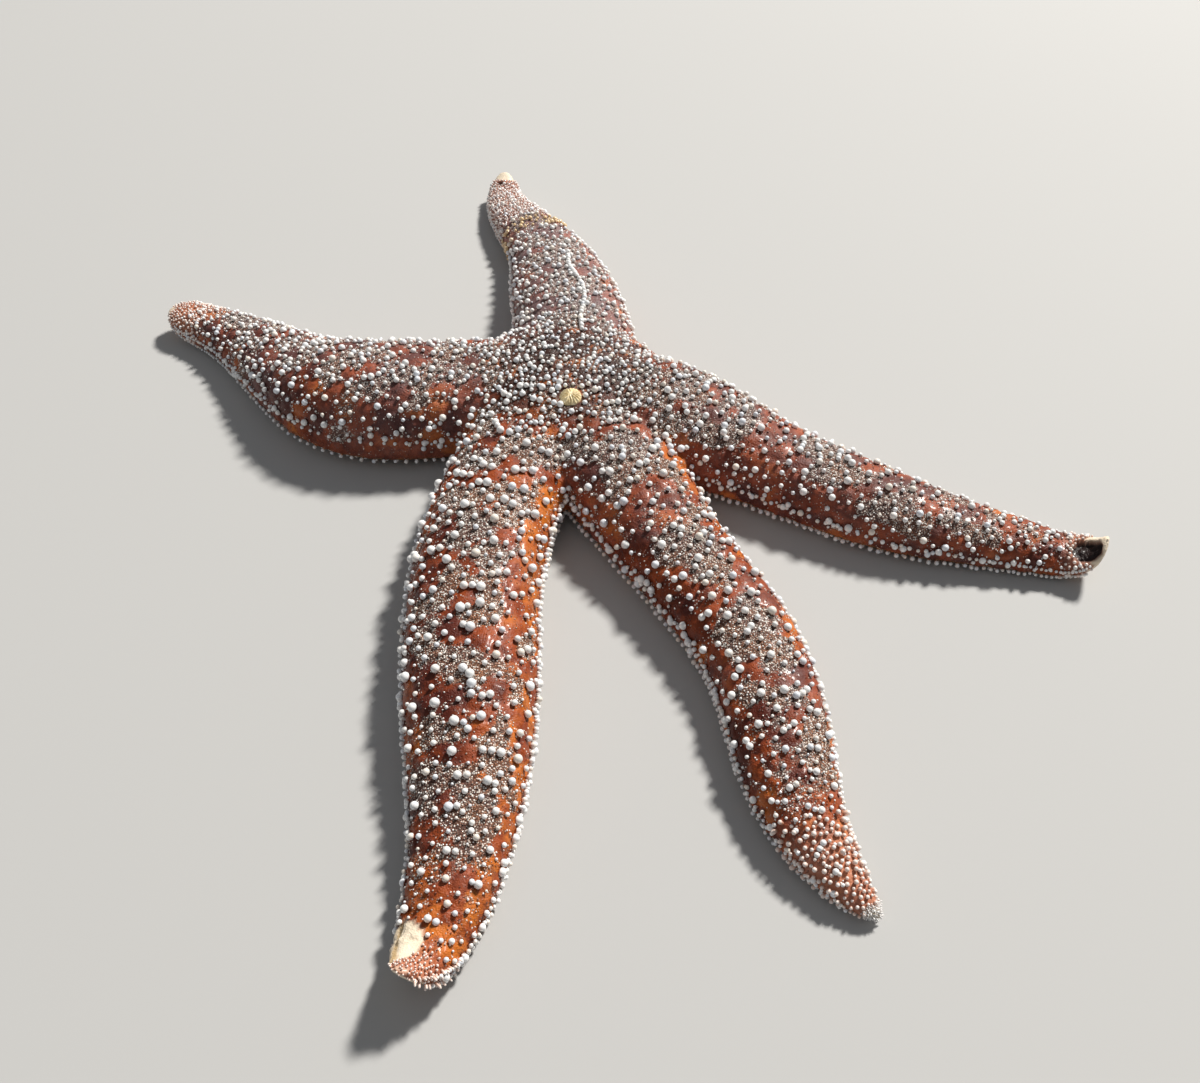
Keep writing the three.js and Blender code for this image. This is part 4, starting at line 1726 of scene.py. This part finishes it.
@dataclass(frozen=True)
class Flesh:
    """Markings that skin and coat share, with painted sunlight, painted glare haze and painted shade."""

    deep: Colour = (0.085, 0.014, 0.007)
    rust: Colour = (0.3, 0.056, 0.012)
    orange: Colour = (0.56, 0.15, 0.018)
    grit_low: Colour = (0.05, 0.032, 0.026)
    grit_mid: Colour = (0.3, 0.24, 0.2)
    grit_high: Colour = (0.86, 0.8, 0.72)
    disc: Colour = (0.03, 0.012, 0.008)
    # Greyish-lavender tint: partly real tone, partly painted glare haze.
    dust: Colour = (0.38, 0.3, 0.31)
    sole: Colour = (0.56, 0.3, 0.13)
    tip: Colour = (0.5, 0.22, 0.14)
    cream: Colour = (0.84, 0.74, 0.6)
    # Painted shade: near-black colour laid into the dents at the curled arm ends.
    hollow: Colour = (0.016, 0.007, 0.006)
    ochre: Colour = (0.62, 0.4, 0.16)
    blotch: float = 6.0 * MM
    vein: float = 1.6 * MM
    grit: float = 0.36 * MM
    patch: float = 2.4 * MM
    streak: float = 0.7 * MM

    def colour(self, bench: Bench) -> Signal:
        """Lays the markings over each other, from the mottled ground to the bare ends.

        Args:
            bench: The material's bench.

        Returns:
            The colour of the flesh.
        """
        marks = {mark: bench.mark(mark.value) for mark in Mark}
        blotch = bench.cloud(self.blotch, detail=3.0, rough=0.55, warp=0.4)
        # The painted sunlight lifts the flesh of the sunlit flanks towards orange.
        heat = 0.9 * blotch + 0.5 * marks[Mark.TONE] + 0.34 * marks[Mark.GLOW] - 0.36
        flesh = bench.mix(heat.step(0.1, 0.42), self.deep, self.rust)
        flesh = bench.mix(heat.step(0.38, 0.75), flesh, self.orange)
        veins = bench.cloud(self.vein, detail=4.0, rough=0.6)
        flesh = bench.mix(0.5 * veins.step(0.5, 0.34), flesh, self.deep)
        flesh = bench.mix(0.25 * marks[Mark.RIDGE], flesh, self.deep)
        seed = bench.cells(self.grit, output="Color")
        hue = bench.node("ShaderNodeSeparateColor", values={0: seed}, output=0)
        dome = bench.cells(self.grit).step(0.6, 0.25)
        grit = bench.mix(dome, self.grit_low, bench.mix(0.4, self.grit_mid, flesh))
        grit = bench.mix(dome * hue.step(0.5, 0.8), grit, self.grit_high)
        patch = bench.cloud(self.patch, detail=4.0, rough=0.7)
        cover = (marks[Mark.GRAIN] + 1.3 * patch + 0.3 * hue - 0.8).step(0.15, 0.6)
        colour = bench.mix(cover * 0.85, flesh, grit)
        speck = (hue + 0.22 * marks[Mark.RIDGE] + 0.3 * marks[Mark.GRAIN]).step(1.0, 1.12)
        colour = bench.mix(speck * dome * 0.85, colour, self.grit_high)
        colour = bench.mix(marks[Mark.DISC] * (0.85 - 0.6 * heat.step(0.4, 0.65)), colour, self.disc)
        # Partly real greyish tone, partly painted glare haze.
        colour = bench.mix((marks[Mark.DUST] + 0.3 * patch - 0.15) * 0.85, colour, self.dust)
        colour = bench.mix(marks[Mark.TIP] * (0.45 + 0.5 * patch).least(1.0), colour, self.tip)
        colour = bench.mix(marks[Mark.SOLE], colour, bench.mix(0.4 * blotch, self.sole, self.rust))
        streaks = bench.cloud(self.streak, detail=3.0, rough=0.6, warp=0.8)
        cream = bench.mix(0.35 * streaks, self.cream, self.ochre)
        colour = bench.mix(marks[Mark.BARE], colour, cream)
        colour = bench.mix(marks[Mark.FURROW] * 0.85, colour, self.ochre)
        # Painted shade fills the hollows beside the curled ends.
        return bench.mix(marks[Mark.HOLLOW], colour, self.hollow)


@dataclass(frozen=True)
class SkinFinish:
    """Wet, mottled skin with granular zones."""

    flesh: Flesh = Flesh()
    wet: float = 0.46
    matt: float = 0.6
    film: float = 0.1
    film_rough: float = 0.14
    shine: float = 0.2
    pore: float = 0.12 * MM
    pore_size: float = 0.42 * MM
    wrinkle: float = 0.16 * MM
    wrinkle_size: float = 0.9 * MM

    def material(self) -> bpy.types.Material:
        """Makes the material.

        Returns:
            The material.
        """
        bench = Bench("wet_skin")
        grain, ridge, bare = (bench.mark(mark.value) for mark in (Mark.GRAIN, Mark.RIDGE, Mark.BARE))
        grit = bench.cells(self.flesh.grit).step(0.65, 0.15)
        folds = bench.cloud(self.wrinkle_size, detail=3.0, rough=0.6, warp=0.5)
        glints = bench.cloud(self.pore_size, detail=1.0)
        rough = self.wet + (self.matt - self.wet) * (grain + 0.25 * ridge).least(1.0) + 0.2 * folds - 0.1
        normal = bench.bump(folds * (1 - 0.7 * bare), self.wrinkle, 0.9)
        normal = bench.bump(glints * (1 - 0.6 * bare), self.pore, 1.0, below=normal)
        normal = bench.bump(grit * (0.3 + 0.7 * grain), self.pore, 1.0, below=normal)
        return bench.finish(
            Base_Color=self.flesh.colour(bench),
            Roughness=rough,
            Normal=normal,
            Specular_IOR_Level=self.shine,
            Coat_Weight=(1 - 0.6 * grain) * self.film,
            Coat_Roughness=self.film_rough,
        )


@dataclass(frozen=True)
class SpineFinish:
    """Porcelain-like heads over stalks in the skin's colours."""

    flesh: Flesh = Flesh()
    milk: Colour = (0.94, 0.93, 0.91)
    blue: Colour = (0.72, 0.77, 0.86)
    cream: Colour = (0.86, 0.76, 0.64)
    yellow: Colour = (0.82, 0.56, 0.26)
    head_from: float = 0.26
    head_to: float = 0.46
    rough: float = 0.26
    film: float = 0.9
    film_rough: float = 0.07
    mottle: float = 0.7 * MM
    chalk: float = 0.28 * MM
    relief: float = 0.03 * MM

    def material(self) -> bpy.types.Material:
        """Makes the material.

        Returns:
            The material.
        """
        bench = Bench("porcelain_spines")
        rise, own = bench.mark("rise"), bench.mark("own")
        head = bench.mix(own.step(0.6, 1.0) * 0.65, self.milk, self.blue)
        head = bench.mix(own.step(0.25, 0.0) * 0.8, head, self.cream)
        mottle = bench.cloud(self.mottle, detail=3.0, rough=0.6)
        head = bench.mix(0.2 * mottle.step(0.45, 0.7), head, self.blue)
        # The heads take a little of the same cast, partly painted glare haze.
        head = bench.mix(0.14 * bench.mark(Mark.DUST.value), head, self.flesh.dust)
        head = bench.mix(bench.mark(Mark.WARM.value) * 0.85, head, self.yellow)
        shown = (rise + 0.12 * mottle - 0.06).step(self.head_from, self.head_to)
        colour = bench.mix(shown, self.flesh.colour(bench), head)
        normal = bench.bump(bench.cloud(self.chalk, detail=2.0), self.relief, 0.8)
        return bench.finish(
            Base_Color=colour,
            Roughness=self.rough + 0.2 * mottle - 0.1,
            Normal=normal,
            Coat_Weight=self.film,
            Coat_Roughness=self.film_rough,
        )


@dataclass(frozen=True)
class GrainFinish:
    """Fine grains, from the skin's colour to sandy white."""

    flesh: Flesh = Flesh()
    sand: Colour = (0.5, 0.41, 0.34)
    white: Colour = (0.93, 0.91, 0.87)
    rough: float = 0.22
    wear: float = 0.3 * MM
    relief: float = 0.03 * MM

    def material(self) -> bpy.types.Material:
        """Makes the material.

        Returns:
            The material.
        """
        bench = Bench("fine_grains")
        own = bench.mark("own")
        base = bench.mix(0.4, self.flesh.colour(bench), self.flesh.grit_low)
        colour = bench.mix(own.step(0.3, 0.7), base, self.sand)
        colour = bench.mix(own.step(0.62, 0.82), colour, self.white)
        colour = bench.mix(0.5 * bench.mark(Mark.DISC.value), colour, self.flesh.disc)
        wear = bench.cloud(self.wear)
        normal = bench.bump(wear, self.relief)
        return bench.finish(Base_Color=colour, Roughness=self.rough + 0.2 * wear, Normal=normal,
                            Coat_Weight=0.6, Coat_Roughness=0.08)


@dataclass(frozen=True)
class EndFinish:
    """Pinkish spines of the arms' ends, with pale tips."""

    root: Colour = (0.42, 0.16, 0.08)
    flank: Colour = (0.8, 0.58, 0.48)
    ruddy: Colour = (0.66, 0.38, 0.26)
    pale: Colour = (0.92, 0.86, 0.81)
    # Tint of the end spines under the greyish cast, partly painted glare haze.
    haze: Colour = (0.62, 0.56, 0.6)
    rough: float = 0.34
    wear: float = 0.25 * MM
    relief: float = 0.03 * MM

    def material(self) -> bpy.types.Material:
        """Makes the material.

        Returns:
            The material.
        """
        bench = Bench("end_spines")
        rise, own = bench.mark("rise"), bench.mark("own")
        warm = bench.mix(0.4 * own, self.flank, self.ruddy)
        colour = bench.mix(rise.step(0.15, 0.5), self.root, warm)
        colour = bench.mix(rise.step(0.5, 0.95) * (0.5 + 0.5 * own), colour, self.pale)
        # Greyish cast on the end spines, partly painted glare haze.
        colour = bench.mix(0.7 * bench.mark(Mark.DUST.value), colour, self.haze)
        normal = bench.bump(bench.cloud(self.wear, detail=2.0), self.relief)
        return bench.finish(Base_Color=colour, Roughness=self.rough + 0.15 * own, Normal=normal,
                            Coat_Weight=0.4, Coat_Roughness=0.12)


@dataclass(frozen=True)
class ToneFinish:
    """Finish of a small part in its own colour, with mottling and fine relief."""

    name: str
    colour: Colour
    second: Colour
    size: float
    rough: float = 0.4
    film: float = 0.4
    relief: float = 0.04 * MM
    milky: float = 0.0
    milk_depth: float = 0.8 * MM

    def material(self) -> bpy.types.Material:
        """Makes the material.

        Returns:
            The material.
        """
        bench = Bench(self.name)
        mottle = bench.cloud(self.size, detail=4.0, rough=0.65, warp=0.6)
        fine = bench.cells(self.size * 0.22).step(0.7, 0.1)
        colour = bench.mix(mottle.step(0.4, 0.68), self.colour, self.second)
        colour = bench.mix(0.25 * fine, colour, tuple(min(1.0, 1.35 * part) for part in self.colour))
        normal = bench.bump(fine + mottle, self.relief)
        return bench.finish(Base_Color=colour, Roughness=self.rough + 0.15 * mottle, Normal=normal,
                            Coat_Weight=self.film, Coat_Roughness=0.15, Subsurface_Weight=self.milky,
                            Subsurface_Scale=self.milk_depth)


TUBE_FEET = ToneFinish("tube_feet", (0.62, 0.42, 0.24), (0.7, 0.56, 0.4), 1.2 * MM, milky=0.2)
SOLE_SPINES = ToneFinish("sole_spines", (0.62, 0.42, 0.27), (0.5, 0.28, 0.15), 1.4 * MM)
FEELERS = ToneFinish("feelers", (0.94, 0.92, 0.9), (0.7, 0.66, 0.63), 0.8 * MM)
SIEVE_PLATE = ToneFinish("sieve_plate", (0.8, 0.62, 0.32), (0.9, 0.8, 0.56), 1.1 * MM)
MEMBRANE = ToneFinish("mouth_membrane", (0.55, 0.3, 0.2), (0.4, 0.17, 0.09), 1.8 * MM)


@dataclass(frozen=True)
class Lamp:
    """Square lamp that shines at the disc: the way to it, its distance, side, power in watts and tint."""

    name: str
    toward: tuple[float, float, float]
    distance: float
    size: float
    power: float
    tint: Colour

    def hang(self, centre: Vector) -> None:
        """Hangs the lamp.

        Args:
            centre: The disc's centre.
        """
        data = bpy.data.lights.new(self.name, "AREA")
        data.size, data.energy, data.color = self.size, self.power, self.tint
        lamp = bpy.data.objects.new(self.name, data)
        direction = Vector(self.toward).normalized()
        lamp.location = centre + direction * self.distance
        lamp.rotation_euler = direction.to_track_quat("Z", "Y").to_euler()
        bpy.context.scene.collection.objects.link(lamp)


@dataclass
class Studio:
    """Pale floor, camera, lamps and sky."""

    centre: Vector
    eye: Vector = field(default_factory=lambda: Vector((8.43, -204.3, 165.0)) * MM)
    tilt: float = 45.0
    lens: float = 32.55
    sensor: float = 36.0
    floor_size: float = 3.0
    floor: Colour = (0.48, 0.477, 0.468)
    sky: Colour = (0.93, 0.96, 1.0)
    sky_strength: float = 0.2
    key: Lamp = Lamp("key", (0.5, 0.55, 0.75), 4.0, 0.49, 270.0, (1.0, 0.97, 0.92))
    fill: Lamp = Lamp("fill", (-0.5, -0.6, 0.8), 1.0, 0.7, 0.5, (0.86, 0.93, 1.0))

    def camera(self) -> None:
        """Sets the camera."""
        data = bpy.data.cameras.new("camera")
        data.lens, data.sensor_width, data.clip_start = self.lens, self.sensor, 0.005
        camera = bpy.data.objects.new("camera", data)
        camera.location = self.centre + self.eye
        camera.rotation_euler = (math.radians(self.tilt), 0, 0)
        bpy.context.scene.collection.objects.link(camera)
        bpy.context.scene.camera = camera

    def build(self) -> None:
        """Makes the whole studio."""
        self.camera()
        bm = bmesh.new()
        bmesh.ops.create_grid(bm, x_segments=1, y_segments=1, size=self.floor_size / 2)
        floor = put("floor", mesh_of(bm))
        bench = Bench("pale_floor")
        tone = bench.cloud(0.4, detail=2.0)
        shade = bench.mix(0.3 * tone, self.floor, tuple(0.9 * part for part in self.floor))
        floor.data.materials.append(bench.finish(Base_Color=shade, Roughness=0.85))
        floor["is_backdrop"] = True
        self.key.hang(self.centre)
        self.fill.hang(self.centre)
        world = bpy.data.worlds.new("studio")
        world.use_nodes = True
        background = world.node_tree.nodes["Background"]
        background.inputs["Color"].default_value = (*self.sky, 1.0)
        background.inputs["Strength"].default_value = self.sky_strength
        bpy.context.scene.world = world
        bpy.context.scene.view_settings.view_transform = "Standard"


def dress(piece: bpy.types.Object, material: bpy.types.Material) -> None:
    """Gives a piece its finish, lets it ride on the body and reports it.

    Args:
        piece: The piece.
        material: Its finish.
    """
    piece.data.materials.append(material)
    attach(piece, BODY)
    LOG.info("dressed %s: %d vertices", piece.name, len(piece.data.vertices))


def main() -> None:
    """Builds the starfish and its studio."""
    logging.basicConfig(level=logging.INFO, format="%(name)s: %(message)s")
    body = Body()
    skin = Skin(body).build(np.random.default_rng(SKIN_SEED))
    dress(skin, SkinFinish().material())
    flesh_nodes = [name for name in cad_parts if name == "disc" or name.startswith("arm_")]
    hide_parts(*flesh_nodes)

    ground = Ground(skin, body)
    coat = Coat(ground, np.random.default_rng(COAT_SEED))
    dorsal = Dorsal(coat)
    spine_finish, grain_finish = SpineFinish().material(), GrainFinish().material()
    foot_finish, sole_finish = TUBE_FEET.material(), SOLE_SPINES.material()
    names = [arm.plan.name for arm in body.arms] + ["disc"]
    layers = (("dorsal_spines", dorsal.build(), spine_finish),
              ("grains", dorsal.grains(), grain_finish),
              ("margin_spines", Margin(coat).build(), spine_finish))
    for layer, regions, finish in layers:
        for number, growths in regions.items():
            piece = coat.join(f"{layer}_{names[number]}", growths, on_disc=number < 0)
            dress(piece, finish)
    underside = Underside(coat)
    for arm in body.arms:
        dress(coat.join(f"sole_spines_{arm.plan.name}", underside.spines(arm)), sole_finish)
        dress(coat.join(f"tube_feet_{arm.plan.name}", underside.feet(arm)), foot_finish)
    dress(coat.join("jaw_spines", underside.jaws(), on_disc=True), sole_finish)
    tips, end_finish, feeler_finish = Tips(coat), EndFinish().material(), FEELERS.material()
    for number, growths in tips.build().items():
        plan = body.arms[number].plan
        dress(coat.join(f"end_spines_{plan.name}", growths), end_finish)
        if plan.tip.tuft:
            dress(coat.join(f"feelers_{plan.name}", tips.tuft(number)), feeler_finish)

    plate = Madreporite(ground).build()
    dress(plate, SIEVE_PLATE.material())
    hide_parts("madreporite")
    membrane = Mouth(body).build()
    dress(membrane, MEMBRANE.material())
    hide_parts("mouth")
    Studio(Vector(body.centre)).build()

    model_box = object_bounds()
    for axis, cad_low, cad_high, low, high in zip("xyz", *CAD_BOX, *model_box):
        LOG.info("%s: frame %.2f to %.2f mm, model %.2f to %.2f mm", axis, cad_low / MM, cad_high / MM,
                 low / MM, high / MM)


if __name__ == "__main__":
    main()
